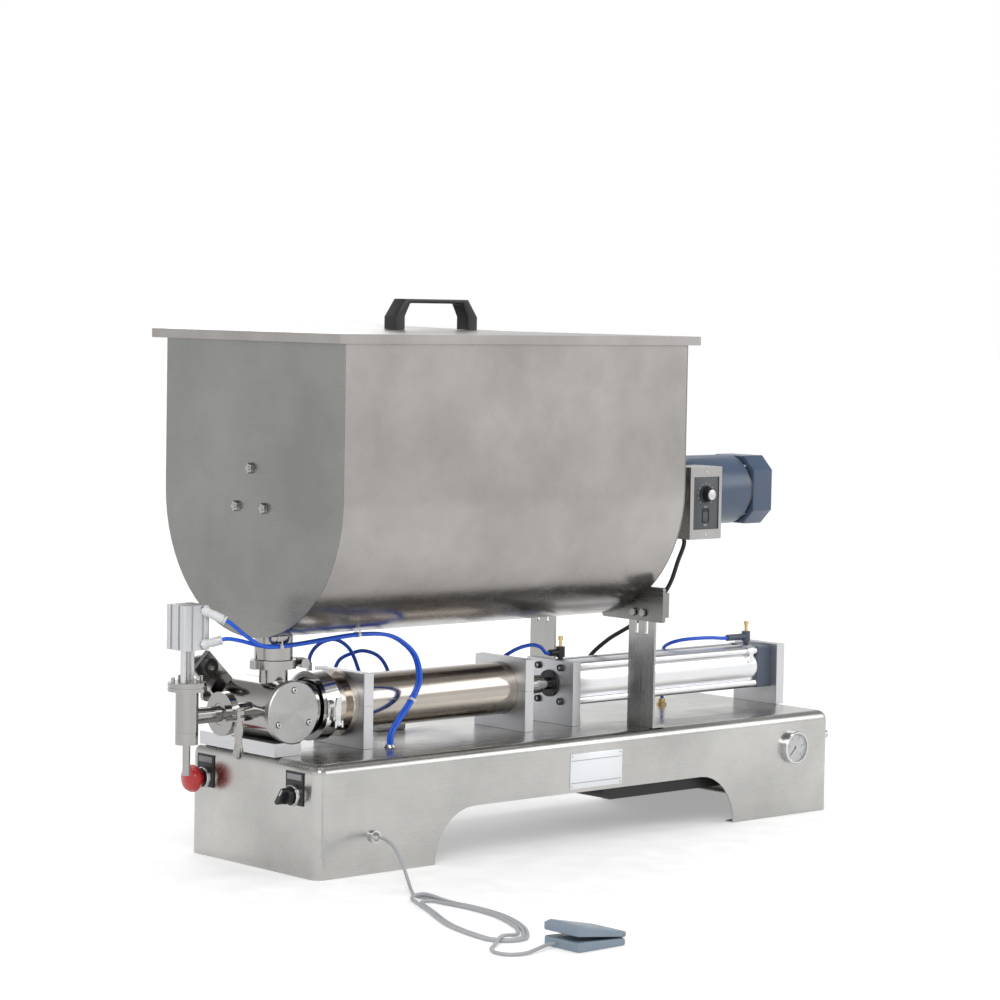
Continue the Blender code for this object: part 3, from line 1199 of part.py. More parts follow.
def air_piston():
    head = BARREL_END - AIR_HEAD_SETBACK - AIR_HEAD_LENGTH - COUPLING_X
    bore = COUPLING_LENGTH * COUPLING_BORE_SHARE
    radius = BARREL_BORE - PISTON_FIT
    profile = [(0, head + AIR_HEAD_LENGTH), (radius, head + AIR_HEAD_LENGTH), (radius, head), (ROD_RADIUS, head),
               (ROD_RADIUS, COUPLING_LENGTH + NUT_LENGTH * 3 / 2),
               (NUT_RADIUS * COUPLING_NECK_SHARE, COUPLING_LENGTH + NUT_LENGTH * 3 / 2),
               (NUT_RADIUS * COUPLING_NECK_SHARE, COUPLING_LENGTH + NUT_LENGTH),
               (NUT_RADIUS, COUPLING_LENGTH + NUT_LENGTH), (NUT_RADIUS, COUPLING_LENGTH),
               (COUPLING_RADIUS, COUPLING_LENGTH), (COUPLING_RADIUS, 0), (ROD_RADIUS + GAP, 0),
               (ROD_RADIUS + GAP, bore), (0, bore)]
    node(turned(profile, (COUPLING_X, 0, AXIS_Z), X_AXIS, SIDES), "air_piston", "polished_steel")


def flow_valve(x, base_z, reach):
    """The fixed body of a flow control valve with its side fitting, and its adjusting screw."""
    side_z = base_z + FLOW_RISE * FLOW_SIDE_SHARE
    top = base_z + FLOW_RISE
    stem = cylinder(FLOW_BODY_RADIUS * FLOW_STEM_SHARE, (x, 0, base_z - WELD), (x, 0, side_z), FEW_SIDES)
    body = cylinder(FLOW_BODY_RADIUS, (x, 0, base_z + FLOW_RISE / 4), (x, 0, top), FEW_SIDES)
    side = cylinder(FLOW_SIDE_RADIUS, (x, 0, side_z), (x - reach, 0, side_z), FEW_SIDES)
    bore = cylinder(FLOW_SCREW_RADIUS + GAP, (x, 0, side_z + FLOW_SIDE_RADIUS), (x, 0, top + OVERRUN), FEW_SIDES)
    return stem, body, side, bore


def flow_screw(name, x, base_z):
    foot = base_z + FLOW_RISE * FLOW_SIDE_SHARE + FLOW_SIDE_RADIUS + GAP
    top = base_z + FLOW_RISE + FLOW_SCREW_HEIGHT - foot
    profile = [(0, top), (FLOW_KNOB_RADIUS, top), (FLOW_KNOB_RADIUS, top - FLOW_KNOB_HEIGHT),
               (FLOW_SCREW_RADIUS, top - FLOW_KNOB_HEIGHT), (FLOW_SCREW_RADIUS, 0), (0, 0)]
    node(turned(profile, (x, 0, foot), Z_AXIS, FEW_SIDES), name, "brass")


def air_cylinder():
    start = Vector((0, 0, AXIS_Z))
    half = AIR_PLATE_WIDTH / 2
    upright = edges_along(2)
    x = AIR_PLATE_X
    plate = rounded_box((x, -half, DECK + GAP), (x + AIR_PLATE_THICK, half, AXIS_Z + AIR_PLATE_RISE), SUPPORT_EDGE,
                        upright, 2)
    bolts = cylinders(BOLT_RADIUS, [((x + WELD, across * BOLT_SPACING_Y / 2, AXIS_Z + up * BOLT_SPACING_Z / 2),
                                     (x - BOLT_HEIGHT, across * BOLT_SPACING_Y / 2, AXIS_Z + up * BOLT_SPACING_Z / 2))
                                    for across in (-1, 1) for up in (-1, 1)], SCREW_SIDES)
    unite(plate, bolts)
    cut(plate, cylinder(GLAND_BOSS + GAP, start + (x - OVERRUN) * X_AXIS,
                        start + (x + AIR_PLATE_THICK + OVERRUN) * X_AXIS, SIDES))
    node(plate, "air_front_plate", "cast_aluminium")

    cap_half = AIR_CAP_SIZE / 2
    x = FRONT_CAP_X
    along = edges_along(0)
    cap = rounded_box((x, -cap_half, AXIS_Z - cap_half), (x + FRONT_CAP_THICK, cap_half, AXIS_Z + cap_half),
                      AIR_CAP_EDGE, along, 2)
    boss = cylinder(GLAND_BOSS, start + (AIR_PLATE_X - BOLT_HEIGHT) * X_AXIS, start + (x + WELD) * X_AXIS, SIDES)
    stem, body, side, bore = flow_valve(x + FRONT_CAP_THICK / 2, AXIS_Z + cap_half, FLOW_FRONT_REACH)
    unite(cap, boss, stem, body, side)
    rod_hole = cylinder(ROD_RADIUS + GAP, start + (AIR_PLATE_X - BOLT_HEIGHT - OVERRUN) * X_AXIS,
                        start + (x + FRONT_CAP_THICK + OVERRUN) * X_AXIS, SIDES)
    cut(cap, rod_hole, bore)
    node(cap, "air_front_cap", "dark_cap")
    flow_screw("flow_screw_front", x + FRONT_CAP_THICK / 2, AXIS_Z + cap_half)

    barrel = cylinder(BARREL_RADIUS, start + BARREL_X * X_AXIS, start + BARREL_END * X_AXIS, MANY_SIDES)
    ties = cylinders(TIE_RADIUS, [((BARREL_X, across * TIE_OFFSET, AXIS_Z + up * TIE_OFFSET),
                                   (BARREL_END, across * TIE_OFFSET, AXIS_Z + up * TIE_OFFSET))
                                  for across in (-1, 1) for up in (-1, 1)], 12)
    tie = Vector((SENSOR_X, -TIE_OFFSET, AXIS_Z + TIE_OFFSET))
    saddle = cylinder(TIE_RADIUS * SENSOR_SADDLE_SHARE, tie, tie + SENSOR_LENGTH * X_AXIS, FEW_SIDES)
    switch = box(tie + Vector((SENSOR_LENGTH / 5, -TIE_RADIUS * SENSOR_SADDLE_SHARE, -SENSOR_DROP)),
                 tie + Vector((SENSOR_LENGTH * 4 / 5, -TIE_RADIUS / 2, 0)))
    unite(barrel, ties, saddle, switch)
    cut(barrel, cylinder(BARREL_BORE, start + (BARREL_X - OVERRUN) * X_AXIS,
                         start + (BARREL_END + OVERRUN) * X_AXIS, MANY_SIDES))
    node(barrel, "air_barrel", "cast_aluminium")

    x = REAR_CAP_X
    rear = rounded_box((x, -cap_half, AXIS_Z - cap_half), (x + REAR_CAP_THICK, cap_half, AXIS_Z + cap_half),
                       AIR_CAP_EDGE, along, 2)
    valve_x = x + FLOW_BODY_RADIUS
    stem, body, side, bore = flow_valve(valve_x, AXIS_Z + cap_half, FLOW_REAR_REACH)
    unite(rear, stem, body, side)
    cut(rear, bore)
    node(rear, "air_rear_cap", "dark_cap")
    flow_screw("flow_screw_rear", valve_x, AXIS_Z + cap_half)

    x = REAR_PLATE_X
    half = REAR_PLATE_WIDTH / 2
    plate = rounded_box((x, -half, DECK + GAP), (x + REAR_PLATE_THICK, half, AXIS_Z + AIR_PLATE_RISE), SUPPORT_EDGE,
                        upright, 2)
    node(plate, "air_rear_plate", "cast_aluminium")


def nozzle_body():
    top = NOZZLE_FLANGE_Z + NOZZLE_FLANGE_THICK
    low = AXIS_Z - NOZZLE_DROP
    split = NOZZLE_FLANGE_THICK / 2
    ring = low + NOZZLE_DROP * NOZZLE_RING_SHARE
    profile = [(0, top), (NOZZLE_FLANGE, top), (NOZZLE_FLANGE, top - split + FLANGE_STEP / 2),
               (NOZZLE_FLANGE - FLANGE_STEP, top - split + FLANGE_STEP / 2),
               (NOZZLE_FLANGE - FLANGE_STEP, top - split - FLANGE_STEP / 2),
               (NOZZLE_FLANGE, top - split - FLANGE_STEP / 2), (NOZZLE_FLANGE, NOZZLE_FLANGE_Z),
               (NOZZLE_RADIUS, NOZZLE_FLANGE_Z), (NOZZLE_RADIUS, ring + NOZZLE_RING),
               (NOZZLE_RADIUS - NOZZLE_RING, ring + NOZZLE_RING), (NOZZLE_RADIUS - NOZZLE_RING, ring),
               (NOZZLE_RADIUS, ring), (NOZZLE_RADIUS, low), (TIP_RADIUS, low),
               (TIP_RADIUS, low - TIP_LENGTH), (0, low - TIP_LENGTH)]
    body = turned(profile, (NOZZLE_X, 0, 0), Z_AXIS, SIDES)
    joint = Vector((VALVE_X - LEFT_PIPE_REACH - GAP / 2, 0, AXIS_Z))
    axis = Vector((NOZZLE_X, 0, AXIS_Z))
    studs = []
    for turn in range(4):
        angle = STUD_TURN + turn * pi / 2
        place = Vector((NOZZLE_X + STUD_RING * cos(angle), STUD_RING * sin(angle), top))
        studs.append((place - WELD * Z_AXIS, place + STUD_HEIGHT * Z_AXIS))
    unite(body, ferruled_pipe(FERRULE_LEFT_RADIUS, SIDE_PIPE_RADIUS, joint.x - NOZZLE_X - OVERRUN, joint, X_AXIS),
          cylinders(STUD_RADIUS, studs, SCREW_SIDES))
    floor = low + NOZZLE_FLANGE_THICK / 2
    cut(body,
        cylinder(NOZZLE_BORE, (NOZZLE_X, 0, floor), (NOZZLE_X, 0, NOZZLE_FLANGE_Z), SIDES),
        cylinder(TIP_BORE, (NOZZLE_X, 0, floor + WELD), (NOZZLE_X, 0, low - TIP_LENGTH - OVERRUN), FEW_SIDES),
        cylinder(SHUTOFF_RADIUS + GAP, (NOZZLE_X, 0, NOZZLE_FLANGE_Z - WELD), (NOZZLE_X, 0, top + OVERRUN),
                 FEW_SIDES),
        cylinder(SIDE_PIPE_BORE, axis, joint + OVERRUN * X_AXIS, FEW_SIDES))
    node(body, "nozzle_body", "polished_steel")


def nozzle_cylinder():
    low = NOZZLE_CYLINDER_Z
    high = low + NOZZLE_CYLINDER_HEIGHT
    half = NOZZLE_CYLINDER_SIZE / 2
    outline = []
    for quarter in range(4):
        spin = Matrix.Rotation(quarter * pi / 2, 2)
        notch = half * GROOVE_PLACE_SHARE
        side = [(half, -notch - SENSOR_GROOVE), (half - SENSOR_GROOVE, -notch - SENSOR_GROOVE),
                (half - SENSOR_GROOVE, -notch + SENSOR_GROOVE), (half, -notch + SENSOR_GROOVE),
                (half, notch - SENSOR_GROOVE), (half - SENSOR_GROOVE, notch - SENSOR_GROOVE),
                (half - SENSOR_GROOVE, notch + SENSOR_GROOVE), (half, notch + SENSOR_GROOVE)]
        side += arc((half - SENSOR_GROOVE, half - SENSOR_GROOVE), SENSOR_GROOVE, 0, pi / 2, 3)
        outline += [tuple(spin @ Vector(point) + Vector((NOZZLE_X, 0))) for point in side]
    body = prism([outline], low, high, "Z")
    posts = cylinders(POST_RADIUS, [((NOZZLE_X + side * POST_X, side * POST_Y, low - POST_LENGTH),
                                     (NOZZLE_X + side * POST_X, side * POST_Y, low + WELD))
                                    for side in (-1, 1)], FEW_SIDES)
    unite(body, posts)
    for start, end in (UPPER_FITTING, LOWER_FITTING):
        unite(body, cylinder(FITTING_RADIUS, start, end, FEW_SIDES))
    wall = NOZZLE_CYLINDER_WALL
    cut(body,
        cylinder(NOZZLE_CYLINDER_BORE, (NOZZLE_X, 0, low + wall), (NOZZLE_X, 0, high - wall), SIDES),
        cylinder(SHUTOFF_RADIUS + GAP, (NOZZLE_X, 0, low - OVERRUN), (NOZZLE_X, 0, low + 2 * wall), FEW_SIDES))
    node(body, "nozzle_cylinder", "cast_aluminium")
    foot = AXIS_Z - NOZZLE_DROP + NOZZLE_FLANGE_THICK / 2 + GAP
    head = low + wall + GAP
    profile = [(0, head + SHUTOFF_HEAD_THICK), (NOZZLE_CYLINDER_BORE - GAP, head + SHUTOFF_HEAD_THICK),
               (NOZZLE_CYLINDER_BORE - GAP, head), (SHUTOFF_RADIUS, head), (SHUTOFF_RADIUS, foot + 3 * SHUTOFF_RADIUS),
               (SHUTOFF_RADIUS * PLUG_SHARE, foot + 2 * SHUTOFF_RADIUS), (SHUTOFF_RADIUS * PLUG_SHARE, foot),
               (0, foot)]
    rod = turned(profile, (NOZZLE_X, 0, 0), Z_AXIS, FEW_SIDES)
    node(rod, "shutoff_rod", "polished_steel")


def trough_outline(radius, top):
    """The U of the hopper seen along its length, from the right rim round the bottom to the left rim."""
    curve = arc((0, TROUGH_Z), radius, 0, -pi, TROUGH_STEPS)
    return [(radius, top), *curve, (-radius, top)]


def hopper_trough():
    inner = TROUGH_RADIUS - HOPPER_SHEET
    outer = TROUGH_RADIUS + RIM_WIDTH
    shell = [(outer, RIM_Z), (outer, RIM_Z - HOPPER_SHEET), *trough_outline(TROUGH_RADIUS, RIM_Z - HOPPER_SHEET),
             (-outer, RIM_Z - HOPPER_SHEET), (-outer, RIM_Z), *reversed(trough_outline(inner, RIM_Z))]
    wall = HOPPER_SHEET + GAP
    trough = prism([shell], HOPPER_X + wall, HOPPER_END - wall, "X")
    outlet = (VALVE_X, 0, HOPPER_BOTTOM - OVERRUN)
    cut(trough, cylinder(NECK_BORE, outlet, (VALVE_X, 0, HOPPER_BOTTOM + NECK_BORE), SIDES))
    node(trough, "hopper_trough", "brushed_steel")


def end_plate(x):
    """A U-shaped end sheet with an outward rim along its top."""
    plate = prism([trough_outline(TROUGH_RADIUS, RIM_Z)], x, x + HOPPER_SHEET, "X")
    half = TROUGH_RADIUS + RIM_WIDTH
    middle = x + HOPPER_SHEET / 2
    side = -1 if x < LID_MIDDLE else 1
    low, high = sorted((middle, middle + side * (HOPPER_SHEET / 2 + RIM_WIDTH)))
    rim = box((low, -half, RIM_Z - HOPPER_SHEET), (high, half, RIM_Z))
    return unite(plate, rim)


def bearing_places(x):
    spots = []
    for angle in (pi / 2, pi * 7 / 6, pi * 11 / 6):
        spots.append(Vector((x, BEARING_STUDS * cos(angle), TROUGH_Z + BEARING_STUDS * sin(angle))))
    return spots


def hopper_end_left():
    plate = end_plate(HOPPER_X)
    holes = cylinders(STUD_HOLE, [(spot - OVERRUN * X_AXIS, spot + (HOPPER_SHEET + OVERRUN) * X_AXIS)
                                  for spot in bearing_places(HOPPER_X)], SCREW_SIDES)
    cut(plate, holes)
    node(plate, "hopper_end_left", "brushed_steel")


def hopper_end_right():
    x = HOPPER_END - HOPPER_SHEET
    plate = end_plate(x)
    face = HOPPER_END
    for side in (-1, 1):
        inner, outer = sorted((side * BRACKET_INNER, side * BRACKET_OUTER))
        slots = [slot_outline((side * (SUPPORT_POST_INNER + SUPPORT_POST_WIDTH / 2 + shift), BRACKET_SLOT_Z),
                              SLOT_WIDTH, SLOT_LENGTH * BRACKET_SLOT_SHARE, False)
                 for shift in (-SLOT_SPACING / 2, SLOT_SPACING / 2)]
        sheet = prism([rounded_outline(inner, outer, BRACKET_LOW, BRACKET_HIGH, BRACKET_RETURN / 2), *slots],
                      face - WELD, face + BRACKET_THICK, "X")
        low, high = sorted((side * (BRACKET_OUTER - GAP), side * (BRACKET_OUTER - HOPPER_SHEET)))
        fold = box((face + WELD, low, BRACKET_LOW + BRACKET_RETURN),
                   (face + BRACKET_THICK + BRACKET_RETURN, high, BRACKET_HIGH - BRACKET_RETURN))
        unite(plate, sheet, fold)
    holes = cylinders(STUD_HOLE, [(spot - OVERRUN * X_AXIS, spot + (HOPPER_SHEET + OVERRUN) * X_AXIS)
                                  for spot in bearing_places(x)], SCREW_SIDES)
    shaft = cylinder(STIRRER_SHAFT + 2 * GAP, (x - OVERRUN, 0, TROUGH_Z), (HOPPER_END + OVERRUN, 0, TROUGH_Z), SIDES)
    cut(plate, holes, shaft)
    node(plate, "hopper_end_right", "brushed_steel")


def hopper_neck():
    foot = Vector((VALVE_X, 0, CLAMP_Z + GAP / 2))
    length = NECK_LENGTH + NECK_RADIUS
    neck = turned([(0, length), (NECK_RADIUS, length), (NECK_RADIUS, FERRULE_THICK), (TOP_PIPE_RADIUS, FERRULE_THICK),
                   (FERRULE_TOP_RADIUS, FERRULE_THICK * FERRULE_RIM_SHARE), (FERRULE_TOP_RADIUS, 0), (0, 0)],
                  foot, Z_AXIS, MANY_SIDES)
    trough = cylinder(TROUGH_RADIUS + GAP, (HOPPER_X - OVERRUN, 0, TROUGH_Z),
                      (2 * VALVE_X + OVERRUN - HOPPER_X, 0, TROUGH_Z), 2 * TROUGH_STEPS)
    cut(neck, trough)
    top = foot + length * Z_AXIS
    cut(neck, cylinder(TOP_PIPE_BORE, foot - OVERRUN * Z_AXIS, top, SIDES),
        cylinder(NECK_BORE, foot + 2 * FERRULE_THICK * Z_AXIS, top, SIDES))
    node(neck, "hopper_neck", "polished_steel")


def lid_form(inset, low, rise):
    """The lid's outer form: flat in front, lifted along a crease towards the back edge."""
    shape = bmesh.new()
    add_box(shape, (LID_X + inset, -LID_HALF_WIDTH + inset, low),
            (LID_X + LID_LENGTH - inset, LID_HALF_WIDTH - inset, LID_TOP + rise))
    for place, normal in (((LID_MIDDLE, 0, 0), X_AXIS), ((0, 0, 0), Y_AXIS)):
        bmesh.ops.bisect_plane(shape, geom=[*shape.verts, *shape.edges, *shape.faces], plane_co=place,
                               plane_no=normal, dist=MERGE)
    top = [vert for vert in shape.verts if vert.co.z > low + LID_SHEET / 2]
    for vert in top:
        near_crease = 1 - abs(vert.co.x - LID_MIDDLE) / (LID_LENGTH / 2 - inset)
        vert.co.z += LID_CREASE * near_crease * (vert.co.y + LID_HALF_WIDTH) / (2 * LID_HALF_WIDTH)
    faces = [face for face in shape.faces if len(face.verts) > 3]
    bmesh.ops.triangulate(shape, faces=faces)
    return from_bmesh(shape)


def hopper_lid():
    lid = lid_form(0, LID_TOP - LID_SKIRT, 0)
    hollow = lid_form(LID_SHEET, LID_TOP - LID_SKIRT - OVERRUN, -LID_SHEET)
    cut(lid, hollow)
    node(lid, "hopper_lid", "brushed_steel", (LID_MIDDLE, 0, LID_TOP))


def lid_handle():
    left = LID_MIDDLE - HANDLE_LENGTH / 2
    right = LID_MIDDLE + HANDLE_LENGTH / 2
    low = LID_TOP
    knee = LID_TOP + LID_CREASE / 2 + HANDLE_FOOT_RISE
    top = LID_TOP + LID_CREASE / 2 + HANDLE_HEIGHT
    bar = top - HANDLE_BAR
    outline = [(left, low), (left + HANDLE_LEG, low), (left + HANDLE_LEG, knee),
               (left + HANDLE_LEG + HANDLE_SLANT * HANDLE_INNER_SHARE, bar),
               (right - HANDLE_LEG - HANDLE_SLANT * HANDLE_INNER_SHARE, bar), (right - HANDLE_LEG, knee),
               (right - HANDLE_LEG, low), (right, low), (right, knee), (right - HANDLE_SLANT, top),
               (left + HANDLE_SLANT, top), (left, knee)]
    handle = prism([outline], -HANDLE_WIDTH / 2, HANDLE_WIDTH / 2, "Y")
    bevel = handle.modifiers.new("edges", "BEVEL")
    bevel.width = HANDLE_EDGE
    bevel.segments = 2
    bevel.limit_method = "ANGLE"
    bevel.angle_limit = radians(60)
    cut(handle, lid_form(0, LID_TOP - LID_SKIRT, GAP))
    node(handle, "lid_handle", "black_plastic")


def stirrer():
    """A shaft with paddle arms at even stations, each pair turned a quarter from the last."""
    axis = Vector((0, 0, TROUGH_Z))
    start = HOPPER_X + HOPPER_SHEET + BEARING_FLANGE_THICK
    end = MOUNT_PLATE_X + MOUNT_PLATE_THICK + SHAFT_INSET
    shaft = cylinder(STIRRER_SHAFT, axis + start * X_AXIS, axis + end * X_AXIS, SIDES)
    first = HOPPER_X + HOPPER_LENGTH / (2 * STIRRER_STATIONS)
    for station in range(STIRRER_STATIONS):
        x = first + station * HOPPER_LENGTH / STIRRER_STATIONS
        reach = Z_AXIS if station % 2 == 0 else Y_AXIS
        tip = STIRRER_TIP - BLADE_LENGTH / 2
        hub = cylinder(STIRRER_SHAFT * HUB_SHARE, axis + (x - STIRRER_SHAFT) * X_AXIS,
                       axis + (x + STIRRER_SHAFT) * X_AXIS, SIDES)
        arm = cylinder(ARM_RADIUS, axis + x * X_AXIS - tip * reach, axis + x * X_AXIS + tip * reach, 12)
        unite(shaft, hub, arm)
        for side in (-1, 1):
            blade = rounded_box((-BLADE_THICK / 2, -BLADE_WIDTH / 2, STIRRER_TIP - BLADE_LENGTH),
                                (BLADE_THICK / 2, BLADE_WIDTH / 2, STIRRER_TIP), BLADE_WIDTH / 4,
                                edges_along(0), 2)
            face = reach.cross(X_AXIS)
            basis = Matrix((X_AXIS, side * face, side * reach)).transposed().to_4x4()
            spin = Matrix.Rotation(BLADE_PITCH, 4, "Z")
            blade.matrix_world = Matrix.Translation(axis + x * X_AXIS) @ basis @ spin
            unite(shaft, blade)
    sleeve_start = COUPLING_SLEEVE_X
    sleeve = cylinder(COUPLING_SLEEVE, axis + sleeve_start * X_AXIS,
                      axis + (sleeve_start + COUPLING_SLEEVE_LENGTH) * X_AXIS, SIDES)
    unite(shaft, sleeve)
    node(shaft, "stirrer", "polished_steel", axis)


def star_outline(middle, radius):
    """Five rounded lobes, as on a star nut."""
    outline = []
    for step in range(15):
        angle = 2 * pi * step / 15
        reach = radius * (1 - STAR_DEPTH_SHARE / 2 * (1 - cos(5 * angle)))
        outline.append((middle[0] + reach * cos(angle), middle[1] + reach * sin(angle)))
    return outline


def left_bearing():
    """The flanged bearing inside the left end, held by three studs with star nuts outside."""
    inside = HOPPER_X + HOPPER_SHEET + GAP
    floor = BEARING_FLANGE_THICK - 2 * GAP
    bearing = turned([(0, floor), (STIRRER_SHAFT + GAP, floor), (STIRRER_SHAFT + GAP, BEARING_DEPTH),
                      (BEARING_HUB, BEARING_DEPTH), (BEARING_HUB, BEARING_FLANGE_THICK),
                      (BEARING_FLANGE, BEARING_FLANGE_THICK), (BEARING_FLANGE, 0), (0, 0)],
                     (inside, 0, TROUGH_Z), X_AXIS, SIDES)
    outside = HOPPER_X - GAP
    spots = bearing_places(inside)
    studs = cylinders(STUD_HOLE - GAP, [(spot + WELD * X_AXIS, (outside - STAR_THICK - WELD, spot.y, spot.z))
                                        for spot in spots], SCREW_SIDES)
    unite(bearing, studs)
    for spot in spots:
        unite(bearing, prism([star_outline((spot.y, spot.z), STAR_RADIUS)], outside - STAR_THICK, outside, "X"))
    node(bearing, "left_bearing", "polished_steel")


def motor_mount():
    """A seal housing on the hopper's right end, four pillars and the plate that carries the gearbox."""
    start = HOPPER_END + GAP
    axis = Vector((0, 0, TROUGH_Z))
    seal = cylinder(SEAL_RADIUS, axis + start * X_AXIS, axis + (start + SEAL_THICK) * X_AXIS, SIDES)
    spots = [(across * PILLAR_OFFSET, TROUGH_Z + up * PILLAR_OFFSET) for across in (-1, 1) for up in (-1, 1)]
    pads = boxes([((start, y - 2 * PILLAR_RADIUS, z - 2 * PILLAR_RADIUS),
                   (start + SEAL_THICK / 2, y + 2 * PILLAR_RADIUS, z + 2 * PILLAR_RADIUS)) for y, z in spots])
    pillars = cylinders(PILLAR_RADIUS, [((start + SEAL_THICK / 4, y, z), (MOUNT_PLATE_X + WELD, y, z))
                                        for y, z in spots], 12)
    half = MOUNT_PLATE / 2
    plate = rounded_box((MOUNT_PLATE_X, -half, TROUGH_Z - half),
                        (MOUNT_PLATE_X + MOUNT_PLATE_THICK, half, TROUGH_Z + half), PILLAR_RADIUS, edges_along(0), 3)
    unite(seal, pads, pillars, plate)
    cut(seal, cylinder(STIRRER_SHAFT + 2 * GAP, axis + (start - OVERRUN) * X_AXIS,
                       axis + (MOUNT_PLATE_X + MOUNT_PLATE_THICK + OVERRUN) * X_AXIS, SIDES))
    node(seal, "motor_mount", "polished_steel")


def gear_motor():
    start = GEARBOX_X
    half = GEARBOX_SIZE / 2
    axis = Vector((0, 0, MOTOR_Z))
    gearbox = rounded_box((start, -half, MOTOR_Z - half), (GEARBOX_END, half, MOTOR_Z + half), half / 3,
                          edges_along(0), 4)
    barrel = cylinder(MOTOR_RADIUS, axis + (GEARBOX_END - WELD) * X_AXIS, axis + MOTOR_END * X_AXIS, MANY_SIDES)
    neck = cylinder(MOTOR_RADIUS * MOTOR_NECK_SHARE, axis + (MOTOR_END - WELD) * X_AXIS,
                    axis + (MOTOR_END + COWL_GAP + WELD) * X_AXIS, SIDES)
    flat = COWL_FLAT / 2
    outline = [(flat, flat - COWL_CHAMFER), (flat - COWL_CHAMFER, flat), (COWL_CHAMFER - flat, flat),
               (-flat, flat - COWL_CHAMFER), (-flat, COWL_CHAMFER - flat), (COWL_CHAMFER - flat, -flat),
               (flat - COWL_CHAMFER, -flat), (flat, COWL_CHAMFER - flat)]
    cowl = prism([[(y, MOTOR_Z + z) for y, z in outline]], MOTOR_END + COWL_GAP, COWL_END, "X")
    bevel = cowl.modifiers.new("edges", "BEVEL")
    bevel.width = COWL_CHAMFER / 6
    bevel.segments = 2
    bevel.limit_method = "ANGLE"
    bevel.angle_limit = radians(60)
    unite(gearbox, barrel, neck, cowl)
    for turn in range(8):
        angle = 2 * pi * turn / 8
        middle = (cos(angle) * flat / 2, MOTOR_Z + sin(angle) * flat / 2)
        cut(gearbox, prism([slot_outline(middle, SLOT_WIDTH / 2, SLOT_LENGTH / 2, False, 3)],
                           COWL_END - COWL_GAP / 2, COWL_END + OVERRUN, "X"))
    cut(gearbox, cylinder(STIRRER_SHAFT + 2 * GAP, (start - OVERRUN, 0, TROUGH_Z),
                          (start + SHAFT_INSET + OVERRUN, 0, TROUGH_Z), SIDES))
    node(gearbox, "gear_motor", "motor_paint")


def speed_control():
    low = Vector((BOX_X, BOX_FRONT_Y, BOX_TOP - BOX_HEIGHT))
    high = Vector((BOX_X + BOX_LENGTH, -GEARBOX_SIZE / 2 - GAP, BOX_TOP))
    body = rounded_box(low, high, BOX_FRAME / 3, edges_along(2), 2)
    frame = Vector((BOX_FRAME, 0, BOX_FRAME * 2))
    face = low.y + BOX_FACE_DEPTH
    window = box(low + frame - OVERRUN * Y_AXIS, Vector((high.x, face, high.z)) - Vector((BOX_FRAME, 0, frame.z)))
    middle = BOX_X + BOX_LENGTH / 2
    stem = cylinder(SPEED_KNOB_RADIUS * STEM_SHARE + GAP, (middle, low.y - OVERRUN, SPEED_KNOB_Z),
                    (middle, face + SPEED_KNOB_LENGTH / 2, SPEED_KNOB_Z), FEW_SIDES)
    half_wide = ROCKER_WIDTH / 2 + GAP * 2
    half_tall = ROCKER_HEIGHT / 2 + GAP * 4
    recess = box((middle - half_wide, low.y - OVERRUN, ROCKER_Z - half_tall),
                 (middle + half_wide, face + ROCKER_DEPTH, ROCKER_Z + half_tall))
    cut(body, window, stem, recess)
    node(body, "control_box", "dark_cap")
    tip = SPEED_KNOB_LENGTH
    profile = [(0, tip), (SPEED_KNOB_RADIUS * KNOB_TAPER_SHARE, tip), (SPEED_KNOB_RADIUS, GAP),
               (SPEED_KNOB_RADIUS * STEM_SHARE, GAP), (SPEED_KNOB_RADIUS * STEM_SHARE, -SPEED_KNOB_LENGTH / 3),
               (0, -SPEED_KNOB_LENGTH / 3)]
    node(turned(profile, (middle, face, SPEED_KNOB_Z), -Y_AXIS, SIDES), "speed_knob", "black_plastic")
    half = ROCKER_HEIGHT / 2
    pivot_y = face + ROCKER_DEPTH * ROCKER_PIVOT_SHARE
    proud = face - ROCKER_DEPTH / 5
    outline = [(proud, ROCKER_Z - half), (face, ROCKER_Z), (proud, ROCKER_Z + half),
               (face + ROCKER_DEPTH / 3, ROCKER_Z + half), (face + ROCKER_DEPTH * 3 / 4, ROCKER_Z + half / 3),
               (face + ROCKER_DEPTH * 3 / 4, ROCKER_Z - half / 3), (face + ROCKER_DEPTH / 3, ROCKER_Z - half)]
    rocker = prism([outline], middle - ROCKER_WIDTH / 2, middle + ROCKER_WIDTH / 2, "X")
    node(rocker, "rocker_switch", "black_plastic", (middle, pivot_y, ROCKER_Z))


